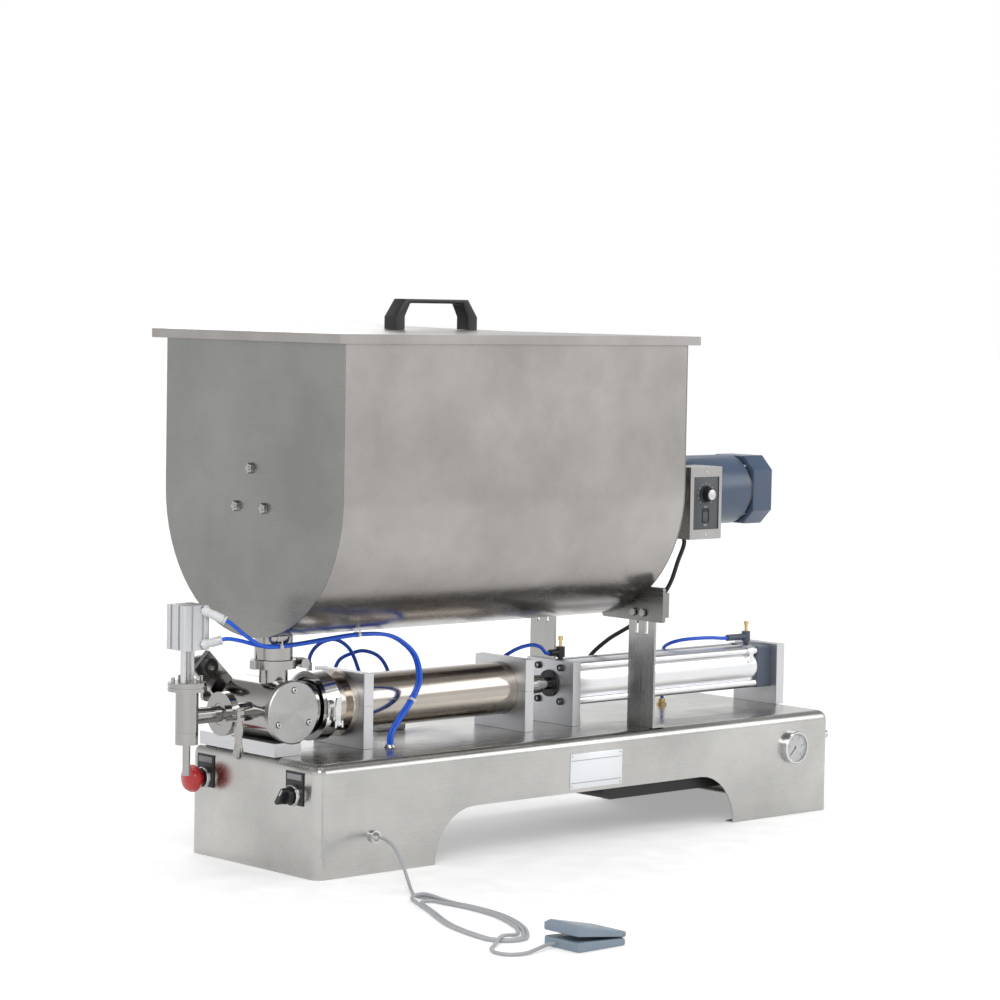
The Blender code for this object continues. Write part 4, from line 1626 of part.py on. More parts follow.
def support_posts():
    x = SUPPORT_POST_X
    for side, name in ((-1, "front_post"), (1, "rear_post")):
        inner, outer = sorted((side * SUPPORT_POST_INNER, side * (SUPPORT_POST_INNER + SUPPORT_POST_WIDTH)))
        middle = (inner + outer) / 2
        slots = [slot_outline((middle + shift, SLOT_Z), SLOT_WIDTH, SLOT_LENGTH, True)
                 for shift in (-SLOT_SPACING / 2, SLOT_SPACING / 2)]
        post = prism([[(inner, DECK + GAP), (outer, DECK + GAP), (outer, SUPPORT_POST_TOP), (inner, SUPPORT_POST_TOP)],
                      *slots], x, x + SUPPORT_POST_THICK, "X")
        foot = box((x + SUPPORT_POST_THICK / 2, inner, DECK + GAP),
                   (x + SUPPORT_POST_THICK + POST_FOOT, outer, DECK + GAP + SUPPORT_POST_THICK))
        bolt_x = x + SUPPORT_POST_THICK + POST_FOOT / 2
        bolt = cylinder(HEX_RADIUS, (bolt_x, middle, DECK + SUPPORT_POST_THICK / 2),
                        (bolt_x, middle, DECK + SUPPORT_POST_THICK + HEX_HEIGHT), 6)
        clamp_bolts = []
        for shift in (-SLOT_SPACING / 2, SLOT_SPACING / 2):
            clamp_bolts.append(((HOPPER_END - WELD - GAP - HEX_HEIGHT, middle + shift, BRACKET_SLOT_Z),
                                (x + SUPPORT_POST_THICK + HEX_HEIGHT, middle + shift, BRACKET_SLOT_Z)))
        unite(post, foot, bolt, cylinders(SLOT_WIDTH / 2 - 2 * GAP, clamp_bolts, SCREW_SIDES))
        heads = [((start[0], start[1], start[2]), (start[0] + HEX_HEIGHT, start[1], start[2]))
                 for start, end in clamp_bolts]
        unite(post, cylinders(HEX_RADIUS, heads, 6))
        node(post, name, "brushed_steel")


def foot_pedal():
    """A cast treadle hinged at its heel over a low base, with the cord in at its toe."""
    toe, heel = PEDAL_X, PEDAL_X + PEDAL_LENGTH
    back, front = PEDAL_Y, PEDAL_Y - PEDAL_WIDTH
    pin = Vector((PEDAL_PIN_X, 0, PEDAL_PIN_Z))
    inset = PEDAL_SHELL + 3 * GAP
    side = [(toe, 0), (heel, 0), (heel, PEDAL_BASE_HEIGHT), (toe, PEDAL_BASE_TOE)]
    base = prism([side], front, back, "Y")
    corners = base.modifiers.new("corners", "BEVEL")
    corners.width = PEDAL_EDGE
    corners.segments = 2
    corners.limit_method = "ANGLE"
    corners.angle_limit = radians(60)
    lug_half = PEDAL_PIN_RADIUS * 2
    lug = box((pin.x - lug_half, front + inset + PEDAL_SHELL, PEDAL_BASE_HEIGHT - WELD),
              (pin.x + lug_half, back - inset - PEDAL_SHELL, pin.z + PEDAL_PIN_RADIUS))
    axle = cylinder(PEDAL_PIN_RADIUS, (pin.x, front + GAP, pin.z), (pin.x, back - GAP, pin.z), FEW_SIDES)
    unite(base, lug, axle)
    node(base, "pedal_base", "pedal_paint")
    slit = PEDAL_LENGTH * tan(radians(PEDAL_SWING)) + PEDAL_SHELL
    lower_toe = PEDAL_BASE_TOE + slit
    outline = [(toe, lower_toe), (heel, PEDAL_BASE_HEIGHT + PEDAL_SHELL / 2), (heel, PEDAL_HEEL),
               (toe + PEDAL_LENGTH / 8, PEDAL_TOE), (toe, PEDAL_TOE - PEDAL_SHELL)]
    cover = prism([outline], front, back, "Y")
    rounds = cover.modifiers.new("corners", "BEVEL")
    rounds.width = PEDAL_EDGE / 2
    rounds.segments = 2
    rounds.limit_method = "ANGLE"
    rounds.angle_limit = radians(50)
    wall = PEDAL_SHELL
    hollow = prism([[(toe + wall, 0), (heel - wall, 0), (heel - wall, PEDAL_HEEL - wall),
                     (toe + PEDAL_LENGTH / 8, PEDAL_TOE - wall * 3 / 2), (toe + wall, PEDAL_TOE - 2 * wall)]],
                   front + wall, back - wall, "Y")
    hole = cylinder(PEDAL_PIN_RADIUS + GAP, (pin.x, front - OVERRUN, pin.z), (pin.x, back + OVERRUN, pin.z), FEW_SIDES)
    cut(cover, hollow, hole)
    node(cover, "pedal_cover", "pedal_paint", (pin.x, (front + back) / 2, pin.z))


def closed_curve(points, steps):
    """A smooth closed outline through hand-chosen points."""
    outline = []
    count = len(points)
    for index in range(count):
        first, second, third, fourth = (Vector(points[(index + shift) % count]) for shift in (-1, 0, 1, 2))
        for step in range(steps):
            share = step / steps
            outline.append(tuple((2 * second + (third - first) * share
                                  + (2 * first - 5 * second + 4 * third - fourth) * share ** 2
                                  + (3 * second - first - 3 * third + fourth) * share ** 3) / 2))
    return outline


def free_cord():
    """The pedal's cord: a lead from the gland, a tied hank on the floor and a tail to the treadle's base."""
    lead = tube(smooth_route(CORD_LEAD, CORD_RADIUS), CORD_RADIUS)
    node(lead, "cord_lead", "grey_cable")
    hank = prism([closed_curve(HANK_OUTLINE, 3)], 0, HANK_THICK, "Z")
    node(hank, "cord_hank", "grey_cable")
    tail = tube(smooth_route(CORD_TAIL, CORD_RADIUS), CORD_RADIUS)
    node(tail, "cord_tail", "grey_cable")


def air_hoses():
    side = HOSE_RADIUS * HOSE_TOUCH_SHARE * Y_AXIS
    middle = [Vector(point) for point in NOZZLE_BUNDLE]
    starts = []
    for fitting, bend in ((UPPER_FITTING, UPPER_BEND), (LOWER_FITTING, LOWER_BEND)):
        along = (Vector(fitting[1]) - Vector(fitting[0])).normalized()
        starts.append([Vector(fitting[1]) + 2 * GAP * along, Vector(fitting[1]) + 3 * HOSE_RADIUS * along, Vector(bend)])
    first = [*starts[0], *[point - side for point in middle]]
    second = [*starts[1], *[point + side for point in middle]]
    bundle = solid_tube(smooth_route(first, HOSE_RADIUS), HOSE_RADIUS)
    unite(bundle, solid_tube(smooth_route(second, HOSE_RADIUS), HOSE_RADIUS))
    node(bundle, "nozzle_hoses", "blue_hose")
    low = Vector((MANIFOLD_X, MANIFOLD_Y, DECK + GAP))
    manifold = box(low, low + Vector((MANIFOLD_LENGTH, MANIFOLD_WIDTH, MANIFOLD_HEIGHT)))
    for route in (HOSE_A, HOSE_B, FRONT_FLOW_HOSE):
        unite(manifold, solid_tube(smooth_route(route, HOSE_RADIUS), HOSE_RADIUS))
    node(manifold, "valve_hoses", "blue_hose")
    rear = tube(smooth_route(REAR_FLOW_HOSE, HOSE_RADIUS), HOSE_RADIUS)
    node(rear, "rear_flow_hose", "blue_hose")
    cable = tube(smooth_route(MOTOR_CABLE, CABLE_RADIUS), CABLE_RADIUS)
    node(cable, "motor_cable", "black_cable")


def main():
    base_cover()
    control_enclosure()
    cable_gland()
    pressure_gauge()
    emergency_stop()
    selector_switch()
    valve_block()
    valve_body()
    valve_front_cover()
    valve_rotor()
    valve_actuator()
    outlet_clamp()
    nozzle_clamp()
    cylinder_clamp()
    paste_cylinder()
    support_plates("front_plate", PLATE_A_X, PLATE_A_THICK)
    support_plates("rear_plate", PLATE_B_X, PLATE_B_THICK)
    paste_piston()
    air_piston()
    air_cylinder()
    nozzle_body()
    nozzle_cylinder()
    hopper_trough()
    hopper_end_left()
    hopper_end_right()
    hopper_neck()
    hopper_lid()
    lid_handle()
    stirrer()
    left_bearing()
    motor_mount()
    gear_motor()
    speed_control()
    support_posts()
    foot_pedal()
    free_cord()
    air_hoses()
    middle_x = (NOZZLE_X - NOZZLE_FLANGE + BASE_LENGTH + INLET_LENGTH) / 2
    middle_y = (PEDAL_Y - PEDAL_WIDTH + LID_HALF_WIDTH) / 2
    root = bpy.data.objects.new("machine_root", None)
    MODEL.objects.link(root)
    root.location = (-middle_x, -middle_y, 0)
    for piece in [*MODEL.objects, *CUTTERS.objects]:
        if piece is not root:
            piece.parent = root


main()
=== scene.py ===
"""Piston paste filling machine with a stirrer tank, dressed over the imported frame.

Metres, +Z up. P() takes the machine's own places: X from the base's left end, Y from its middle, Z from the floor.
"""

from math import ceil, cos, pi, radians, sin

import bmesh
import bpy
from mathutils import Matrix, Vector


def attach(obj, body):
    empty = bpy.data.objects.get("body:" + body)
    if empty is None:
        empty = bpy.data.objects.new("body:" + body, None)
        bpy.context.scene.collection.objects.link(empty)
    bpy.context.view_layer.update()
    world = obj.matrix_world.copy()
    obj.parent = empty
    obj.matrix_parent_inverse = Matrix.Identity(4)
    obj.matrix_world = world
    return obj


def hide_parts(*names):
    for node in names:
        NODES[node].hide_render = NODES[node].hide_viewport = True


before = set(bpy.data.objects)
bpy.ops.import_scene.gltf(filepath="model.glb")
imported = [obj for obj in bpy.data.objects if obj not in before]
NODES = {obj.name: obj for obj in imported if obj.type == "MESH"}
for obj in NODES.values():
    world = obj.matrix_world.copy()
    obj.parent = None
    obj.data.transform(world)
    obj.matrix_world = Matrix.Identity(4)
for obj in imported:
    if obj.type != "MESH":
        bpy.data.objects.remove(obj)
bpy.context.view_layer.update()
SCENE = bpy.context.scene
COLLECTION = SCENE.collection

# The machine's frame against the world's, and the heights and faces that several details share
SHIFT = Vector((-0.4845, 0.2615, 0))
X = Vector((1, 0, 0))
Y = Vector((0, 1, 0))
Z = Vector((0, 0, 1))
DECK = 0.1677
AXIS_Z = 0.2320
MOTOR_Z = 0.5337
HALF_DEPTH = 0.15385
PLATE_X0, PLATE_X1 = 0.501, 0.613
PLATE_Z0, PLATE_Z1 = 0.088, 0.143
SWITCH_Z = 0.1195
SELECTOR_Y, ESTOP_Y = -0.101, 0.114


def P(x, y, z):
    return Vector((x, y, z)) + SHIFT


# ---------------------------------------------------------------- camera

# Placed and turned to match the photograph.
LENS, SENSOR_WIDTH, FAR_CLIP = 113.315, 36, 50
CAMERA_PLACE = (-2.8378, -3.6633, 0.8447)
right = Vector((0.74145, -0.67075, 0.01783)).normalized()
up = Vector((0.02946, 0.05911, 0.99780)).normalized()
back = right.cross(up).normalized()
up = back.cross(right).normalized()
camera_data = bpy.data.cameras.new("camera")
camera_data.sensor_width = SENSOR_WIDTH
camera_data.lens = LENS
camera_data.clip_end = FAR_CLIP
camera = bpy.data.objects.new("camera", camera_data)
COLLECTION.objects.link(camera)
camera.matrix_world = Matrix.Translation(P(*CAMERA_PLACE)) @ Matrix((right, up, back)).transposed().to_4x4()
SCENE.camera = camera


# ---------------------------------------------------------------- mesh helpers

SCREW_STEPS = 24
WASHER_THICK = 0.0008


def link(obj, body="machine", material=None):
    if obj.name not in COLLECTION.objects:
        COLLECTION.objects.link(obj)
    if material is not None:
        obj.data.materials.clear()
        obj.data.materials.append(material)
    if body:
        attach(obj, body)
    return obj


def from_bmesh(name, shape, angle=35):
    bmesh.ops.recalc_face_normals(shape, faces=shape.faces)
    mesh = bpy.data.meshes.new(name)
    shape.to_mesh(mesh)
    shape.free()
    mesh.shade_smooth()
    mesh.set_sharp_from_angle(angle=radians(angle))
    return bpy.data.objects.new(name, mesh)


def turn_to(direction):
    return Z.rotation_difference(Vector(direction).normalized()).to_matrix().to_4x4()


def lathe_into(shape, profile, origin, direction, steps=48):
    """Turn (radius, height) points about an axis into a bmesh; ends on the axis close it."""
    basis = Matrix.Translation(origin) @ turn_to(direction)
    rings = []
    for radius, height in profile:
        if radius < 1e-6:
            rings.append([shape.verts.new(basis @ Vector((0, 0, height)))])
        else:
            rings.append([shape.verts.new(basis @ Vector((radius * cos(2 * pi * step / steps),
                                                          radius * sin(2 * pi * step / steps), height)))
                          for step in range(steps)])
    for first, second in zip(rings, rings[1:]):
        for step in range(steps):
            after = (step + 1) % steps
            corners = []
            for vert in (first[step % len(first)], first[after % len(first)],
                         second[after % len(second)], second[step % len(second)]):
                if vert not in corners:
                    corners.append(vert)
            if len(corners) > 2:
                shape.faces.new(corners)


def lathe(name, profile, origin, direction, steps=48, angle=35):
    shape = bmesh.new()
    lathe_into(shape, profile, origin, direction, steps)
    return from_bmesh(name, shape, angle)


def box_into(shape, low, high, bevel=0.0, segments=2):
    low, high = Vector(low), Vector(high)
    middle = Matrix.Translation((low + high) / 2)
    size = high - low
    made = bmesh.ops.create_cube(shape, size=1, matrix=middle @ Matrix.Diagonal((*size, 1)))
    if bevel:
        verts = set(made["verts"])
        edges = [edge for edge in shape.edges if edge.verts[0] in verts and edge.verts[1] in verts]
        bmesh.ops.bevel(shape, geom=edges, offset=bevel, offset_type="OFFSET", segments=segments, profile=0.5,
                        affect="EDGES", clamp_overlap=True)


def box(name, low, high, bevel=0.0005, segments=2):
    shape = bmesh.new()
    box_into(shape, low, high, bevel, segments)
    return from_bmesh(name, shape, 40)


def hex_socket_screw(shape, place, direction, radius, height, washer=0.0):
    """A round screw head with a sunk round socket, on a washer where one is given."""
    direction = Vector(direction).normalized()
    if washer:
        lathe_into(shape, [(0, 0), (washer, 0), (washer, WASHER_THICK), (0, WASHER_THICK)], place, direction,
                   SCREW_STEPS)
        place = place + direction * WASHER_THICK
    edge = radius * 0.12
    socket = radius * 0.52
    lathe_into(shape, [(0, 0), (radius, 0), (radius, height - edge), (radius - edge, height), (socket, height),
                       (socket, height * 0.45), (0, height * 0.35)], place, direction, SCREW_STEPS)


def smooth_points(points, spacing):
    """Evenly spaced points of a smooth curve through the route's own points."""
    points = [Vector(point) for point in points]
    ends = [2 * points[0] - points[1], *points, 2 * points[-1] - points[-2]]
    fine = []
    for first, second, third, fourth in zip(ends, ends[1:], ends[2:], ends[3:]):
        span = (third - second).length
        before = (third - first) * span / ((second - first).length + span)
        after = (fourth - second) * span / ((fourth - third).length + span)
        pieces = max(2, ceil(span / spacing))
        for step in range(pieces):
            share = step / pieces
            fine.append((2 * share ** 3 - 3 * share ** 2 + 1) * second
                        + (share ** 3 - 2 * share ** 2 + share) * before
                        + (3 * share ** 2 - 2 * share ** 3) * third
                        + (share ** 3 - share ** 2) * after)
    return [*fine, points[-1]]


def wire(name, points, radius, resolution=4, spacing=None):
    curve = bpy.data.curves.new(name, "CURVE")
    curve.dimensions = "3D"
    curve.bevel_depth = radius
    curve.bevel_resolution = resolution
    curve.use_fill_caps = True
    line = smooth_points(points, spacing or radius * 2.2)
    spline = curve.splines.new("POLY")
    spline.points.add(len(line) - 1)
    for point, at in zip(spline.points, line):
        point.co = (*at, 1)
    spline.use_smooth = True
    return bpy.data.objects.new(name, curve)


# ---------------------------------------------------------------- materials

EVEN = (1, 1, 1)
CLOUD_SCALE, SMUDGE_SCALE, GLOSS_SCALE = 5.0, 22.0, 18.0
LINE_DEPTH, GRAIN_DEPTH = 0.00015, 0.0001


def plain(name, colour, roughness, metallic=0.0, **sockets):
    made = bpy.data.materials.new(name)
    made.use_nodes = True
    shader = made.node_tree.nodes["Principled BSDF"]
    shader.inputs["Base Color"].default_value = (*colour, 1)
    shader.inputs["Roughness"].default_value = roughness
    shader.inputs["Metallic"].default_value = metallic
    for socket, value in sockets.items():
        shader.inputs[socket.replace("_", " ")].default_value = value
    return made


def noise(made, stretch, scale=1.0, detail=3.0, rough=0.5):
    nodes, links = made.node_tree.nodes, made.node_tree.links
    coords = nodes.new("ShaderNodeTexCoord")
    mapping = nodes.new("ShaderNodeMapping")
    mapping.inputs["Scale"].default_value = stretch
    links.new(coords.outputs["Object"], mapping.inputs["Vector"])
    texture = nodes.new("ShaderNodeTexNoise")
    texture.inputs["Scale"].default_value = scale
    texture.inputs["Detail"].default_value = detail
    texture.inputs["Roughness"].default_value = rough
    links.new(mapping.outputs["Vector"], texture.inputs["Vector"])
    return texture.outputs["Fac"]


def spread(made, fac, low, high, start=0.3, end=0.7):
    nodes, links = made.node_tree.nodes, made.node_tree.links
    span = nodes.new("ShaderNodeMapRange")
    span.inputs["From Min"].default_value = start
    span.inputs["From Max"].default_value = end
    span.inputs["To Min"].default_value = low
    span.inputs["To Max"].default_value = high
    links.new(fac, span.inputs["Value"])
    return span.outputs["Result"]


def tint(made, fac, first, second):
    nodes, links = made.node_tree.nodes, made.node_tree.links
    mix = nodes.new("ShaderNodeMix")
    mix.data_type = "RGBA"
    mix.inputs["A"].default_value = (*first, 1)
    mix.inputs["B"].default_value = (*second, 1)
    links.new(fac, mix.inputs["Factor"])
    return mix.outputs["Result"]


def add(made, first, second):
    nodes, links = made.node_tree.nodes, made.node_tree.links
    total = nodes.new("ShaderNodeMath")
    total.operation = "ADD"
    links.new(first, total.inputs[0])
    links.new(second, total.inputs[1])
    return total.outputs["Value"]


def bump(made, height, strength, distance):
    nodes, links = made.node_tree.nodes, made.node_tree.links
    relief = nodes.new("ShaderNodeBump")
    relief.inputs["Strength"].default_value = strength
    relief.inputs["Distance"].default_value = distance
    links.new(height, relief.inputs["Height"])
    links.new(relief.outputs["Normal"], nodes["Principled BSDF"].inputs["Normal"])


def metal(name, colour, roughness, stretch, swing=0.05, relief=0.15, cloud=0.07, **sockets):
    """Metal with fine polishing lines, a cloudy tone and uneven gloss; the lines run along stretch's least value."""
    made = plain(name, colour, roughness, 1.0, **sockets)
    shader = made.node_tree.nodes["Principled BSDF"]
    links = made.node_tree.links
    lines = noise(made, stretch, 1.0, 4.0, 0.6)
    clouds = noise(made, EVEN, CLOUD_SCALE, 4.0, 0.6)
    smudge = noise(made, EVEN, SMUDGE_SCALE, 2.0, 0.5)
    rough = add(made, spread(made, lines, roughness - swing, roughness + swing),
                spread(made, smudge, -swing * 0.5, swing * 0.5))
    links.new(rough, shader.inputs["Roughness"])
    dark = tuple(value * (1 - cloud) for value in colour)
    light = tuple(min(1, value * (1 + cloud)) for value in colour)
    links.new(tint(made, spread(made, clouds, 0, 1), dark, light), shader.inputs["Base Color"])
    bump(made, lines, relief, LINE_DEPTH)
    return made


def moulded(name, colour, roughness, relief=0.2, scale=900.0, **sockets):
    """Moulded plastic or paint with a fine grain and faint uneven gloss."""
    made = plain(name, colour, roughness, 0.0, **sockets)
    shader = made.node_tree.nodes["Principled BSDF"]
    links = made.node_tree.links
    grain = noise(made, EVEN, scale, 2.0, 0.5)
    clouds = noise(made, EVEN, GLOSS_SCALE, 2.0, 0.5)
    links.new(spread(made, clouds, roughness - 0.04, roughness + 0.06), shader.inputs["Roughness"])
    dark = tuple(value * 0.92 for value in colour)
    light = tuple(min(1, value * 1.06) for value in colour)
    links.new(tint(made, spread(made, clouds, 0, 1), dark, light), shader.inputs["Base Color"])
    bump(made, grain, relief, GRAIN_DEPTH)
    return made


BASE_STEEL = metal("base_steel", (0.47, 0.465, 0.45), 0.25, (3, 420, 420), 0.05, 0.10, 0.14)
HOPPER_STEEL = metal("hopper_steel", (0.375, 0.355, 0.34), 0.23, (420, 3, 420), 0.05, 0.10, 0.16)
LID_STEEL = metal("lid_steel", (0.34, 0.325, 0.315), 0.36, (420, 3, 420), 0.05, 0.10, 0.16)
# The hopper's end plates take the trough's sheet steel painted darker: painted shade on the side-facing ends.
SHADED_END_STEEL = metal("hopper_end_steel_painted_shade", (0.255, 0.255, 0.245), 0.28, (420, 3, 420), 0.05, 0.10, 0.12)
POST_STEEL = metal("post_steel", (0.40, 0.395, 0.385), 0.26, (420, 420, 3), 0.04, 0.10, 0.06)
POLISHED = metal("polished_steel", (0.36, 0.352, 0.342), 0.13, (260, 260, 260), 0.03, 0.03, 0.04)
BRIGHT = metal("bright_steel", (0.64, 0.64, 0.64), 0.12, (300, 300, 300), 0.03, 0.03, 0.03)
TURNED = metal("turned_steel", (0.40, 0.40, 0.395), 0.30, (320, 320, 320), 0.05, 0.06, 0.05)
CYLINDER_STEEL = metal("cylinder_steel", (0.43, 0.395, 0.355), 0.15, (500, 10, 10), 0.04, 0.08, 0.07)
ALUMINIUM = metal("plate_aluminium", (0.60, 0.605, 0.62), 0.42, (40, 40, 380), 0.05, 0.12, 0.03)
BARREL = metal("barrel_aluminium", (0.76, 0.765, 0.78), 0.32, (8, 320, 320), 0.04, 0.08, 0.03)
SCREW_STEEL = metal("screw_steel", (0.55, 0.55, 0.55), 0.24, (900, 900, 900), 0.05, 0.05, 0.05)
DARK_STEEL = metal("blackened_steel", (0.06, 0.06, 0.065), 0.34, (700, 700, 700), 0.05, 0.05, 0.08)
BRASS = metal("brass", (0.62, 0.47, 0.22), 0.26, (800, 800, 800), 0.05, 0.05, 0.08)
CAP_PAINT = moulded("cap_paint", (0.085, 0.105, 0.15), 0.40, 0.12)
BLACK_CAP = moulded("black_cap", (0.012, 0.013, 0.016), 0.38, 0.12)
MOTOR_PAINT = moulded("motor_paint", (0.055, 0.090, 0.155), 0.36, 0.25, 700.0, Coat_Weight=0.25, Coat_Roughness=0.25)
BOX_PAINT = moulded("box_paint", (0.085, 0.095, 0.105), 0.42, 0.15)
BOX_STEEL = metal("box_steel", (0.42, 0.41, 0.40), 0.26, (420, 420, 3), 0.05, 0.08, 0.06)
BLACK = moulded("black_plastic", (0.014, 0.014, 0.015), 0.36, 0.25, 1400.0)
# Near-black for the enclosure under the deck, standing in for the dark seen through the arch: painted shade.
SHADE_BLACK_ENCLOSURE = moulded("enclosure_painted_shade_black", (0.012, 0.012, 0.013), 0.45, 0.3)
RED = moulded("red_plastic", (0.62, 0.012, 0.014), 0.24, 0.03, 1500.0, Coat_Weight=0.4, Coat_Roughness=0.1)
BLUE = moulded("blue_hose", (0.002, 0.115, 0.80), 0.34, 0.04, 800.0, Coat_Weight=0.2, Coat_Roughness=0.2)
LABEL = moulded("label_grey", (0.30, 0.31, 0.32), 0.4, 0.05)
WHITE = moulded("white_plastic", (0.78, 0.79, 0.80), 0.36, 0.05, 900.0)
GREY_CORD = moulded("grey_cord", (0.46, 0.47, 0.49), 0.40, 0.15, 600.0)
CABLE = moulded("black_cable", (0.012, 0.012, 0.013), 0.42, 0.2, 900.0)
PEDAL = moulded("pedal_paint", (0.235, 0.305, 0.375), 0.34, 0.25, 450.0, Coat_Weight=0.35, Coat_Roughness=0.2)
DIAL = moulded("dial_white", (0.82, 0.83, 0.83), 0.40, 0.02)
NEEDLE = moulded("needle_black", (0.01, 0.01, 0.012), 0.35, 0.02)
PLATE = metal("data_plate", (0.76, 0.775, 0.80), 0.38, (500, 4, 4), 0.04, 0.06, 0.03)
GLASS = plain("gauge_glass", (1, 1, 1), 0.03, 0.0, Transmission_Weight=1.0, IOR=1.45)

# The turned faces catch the light in rings about the machine's Y axis.
turned = TURNED.node_tree
turning = turned.nodes.new("ShaderNodeTangent")
turning.direction_type = "RADIAL"
turning.axis = "Y"
turned.links.new(turning.outputs["Tangent"], turned.nodes["Principled BSDF"].inputs["Tangent"])
turned.nodes["Principled BSDF"].inputs["Anisotropic"].default_value = 0.85

# Which node gets which finish. The nodes keep their shapes, with modifiers that only smooth the shading.
FINISH = (
    (BASE_STEEL, ("base_cover",)),
    (HOPPER_STEEL, ("hopper_trough",)),
    (LID_STEEL, ("hopper_lid",)),
    # the end plates' darker steel is painted shade
    (SHADED_END_STEEL, ("hopper_end_left", "hopper_end_right")),
    (POST_STEEL, ("front_post", "rear_post")),
    (POLISHED, ("valve_body", "outlet_clamp", "nozzle_clamp", "nozzle_body", "hopper_neck", "motor_mount", "stirrer",
                "shutoff_rod", "actuator_rod", "paste_piston", "air_piston", "valve_rotor")),
    (TURNED, ("valve_front_cover", "left_bearing")),
    (BRIGHT, ("cylinder_clamp", "clamp_lever", "gauge_case")),
    (CYLINDER_STEEL, ("paste_cylinder",)),
    (ALUMINIUM, ("valve_block", "front_plate_lower", "front_plate_upper", "rear_plate_lower", "rear_plate_upper",
                 "air_front_plate", "air_rear_plate", "actuator_body", "nozzle_cylinder")),
    (BARREL, ("air_barrel",)),
    (BLACK_CAP, ("air_front_cap",)),
    (CAP_PAINT, ("air_rear_cap",)),
    (BOX_STEEL, ("control_box",)),
    (BLACK, ("lid_handle", "selector_base", "selector_knob", "speed_knob", "rocker_switch", "estop_base")),
    # the enclosure's near-black is painted shade under the deck
    (SHADE_BLACK_ENCLOSURE, ("control_enclosure",)),
    (RED, ("estop_button",)),
    (BRIGHT, ("cable_gland",)),
    (MOTOR_PAINT, ("gear_motor",)),
    (PEDAL, ("pedal_base", "pedal_cover")),
    (NEEDLE, ("gauge_needle",)),
    (BRASS, ("flow_screw_front", "flow_screw_rear")),
)
WELD_REACH = 1e-6
SHARP_ANGLE = radians(31)
for finish, names in FINISH:
    for name in names:
        node = NODES[name]
        node.data.materials.clear()
        node.data.materials.append(finish)
        node.data.shade_smooth()
        weld = node.modifiers.new("weld", "WELD")
        weld.merge_threshold = WELD_REACH
        split = node.modifiers.new("split", "EDGE_SPLIT")
        split.split_angle = SHARP_ANGLE
        node.modifiers.new("weighted", "WEIGHTED_NORMAL")


# ---------------------------------------------------------------- pedal cord

CORD, CORD_SPACING, CORD_ROUND = 0.0025, 0.004, 5
CORD_ROUTE = (
    (0.1065, -0.16845, 0.0552), (0.1062, -0.178, 0.0550), (0.1010, -0.205, 0.0480), (0.088, -0.240, 0.0300),
    (0.072, -0.272, 0.0120), (0.058, -0.295, 0.0046), (0.0461, -0.313, 0.0030), (0.0376, -0.3261, 0.0028),
    (0.0350, -0.338, 0.0028), (0.0375, -0.3524, 0.0028), (0.0420, -0.390, 0.0028), (0.0470, -0.445, 0.0028),
    (0.0392, -0.514, 0.0028), (0.0075, -0.5885, 0.0028), (-0.0370, -0.6425, 0.0028), (-0.0605, -0.6470, 0.0028),
    (-0.0795, -0.6350, 0.0028), (-0.0858, -0.6115, 0.0028), (-0.0672, -0.5226, 0.0028), (-0.0213, -0.4253, 0.0028),
    (0.0075, -0.3640, 0.0030), (0.0130, -0.3500, 0.0042), (0.0240, -0.3440, 0.0066), (0.0345, -0.3510, 0.0084),
    (0.0362, -0.368, 0.0080), (0.0376, -0.390, 0.0056), (0.0415, -0.445, 0.0030), (0.0340, -0.5115, 0.0028),
    (0.0032, -0.5850, 0.0028), (-0.0395, -0.6370, 0.0028), (-0.0600, -0.6412, 0.0028), (-0.0752, -0.6310, 0.0028),
    (-0.0804, -0.6105, 0.0028), (-0.0620, -0.5240, 0.0028), (-0.0166, -0.4275, 0.0028), (0.0030, -0.3860, 0.0028),
    (0.0082, -0.3760, 0.0028), (0.0190, -0.3705, 0.0030), (0.0292, -0.3770, 0.0032), (0.0318, -0.3910, 0.0030),
    (0.0362, -0.4450, 0.0028), (0.0288, -0.5090, 0.0028), (-0.0015, -0.5815, 0.0028), (-0.0250, -0.6120, 0.0030),
    (-0.0430, -0.6245, 0.0042), (-0.0590, -0.6300, 0.0070), (-0.0725, -0.6345, 0.0084), (-0.0835, -0.6405, 0.0083),
    (-0.0940, -0.6470, 0.0058), (-0.1060, -0.6545, 0.0032), (-0.1240, -0.6690, 0.0028), (-0.1335, -0.6900, 0.0028),
    (-0.1270, -0.7085, 0.0028), (-0.1060, -0.7155, 0.0030), (-0.0820, -0.7110, 0.0046), (-0.0580, -0.7045, 0.0060),
    (-0.0445, -0.7040, 0.0062),
)
cord = wire("pedal_cord", [P(*point) for point in CORD_ROUTE], CORD, CORD_ROUND, CORD_SPACING)
link(cord, "machine", GREY_CORD)
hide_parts("cord_lead", "cord_hank", "cord_tail")


# ---------------------------------------------------------------- air hoses and cables

HOSE, HOSE_SPACING = 0.003, 0.003
CABLE_RADIUS, CABLE_SPACING = 0.0035, 0.004
HOSE_ROUND = 5
BUNDLE = ((-0.018, -0.0400, 0.333), (0.0136, -0.0410, 0.3305), (0.050, -0.0450, 0.3325), (0.100, -0.0540, 0.338),
          (0.145, -0.0609, 0.342), (0.200, -0.0609, 0.339), (0.232, -0.0609, 0.327), (0.2606, -0.0609, 0.302),
          (0.2694, -0.0609, 0.265), (0.254, -0.0609, 0.236), (0.230, -0.0609, 0.208), (0.215, -0.0609, 0.187),
          (0.213, -0.0609, 0.1690))
BUNDLE_HALF = 0.0031


def nozzle_hose(name, fitting, bend, side):
    start, end = (P(*point) for point in fitting)
    along = (end - start).normalized()
    points = [end - along * 0.004, end + along * 0.009, P(*bend)]
    points += [P(x, y + side * BUNDLE_HALF, z) for x, y, z in BUNDLE]
    return link(wire(name, points, HOSE, HOSE_ROUND, HOSE_SPACING), "machine", BLUE)


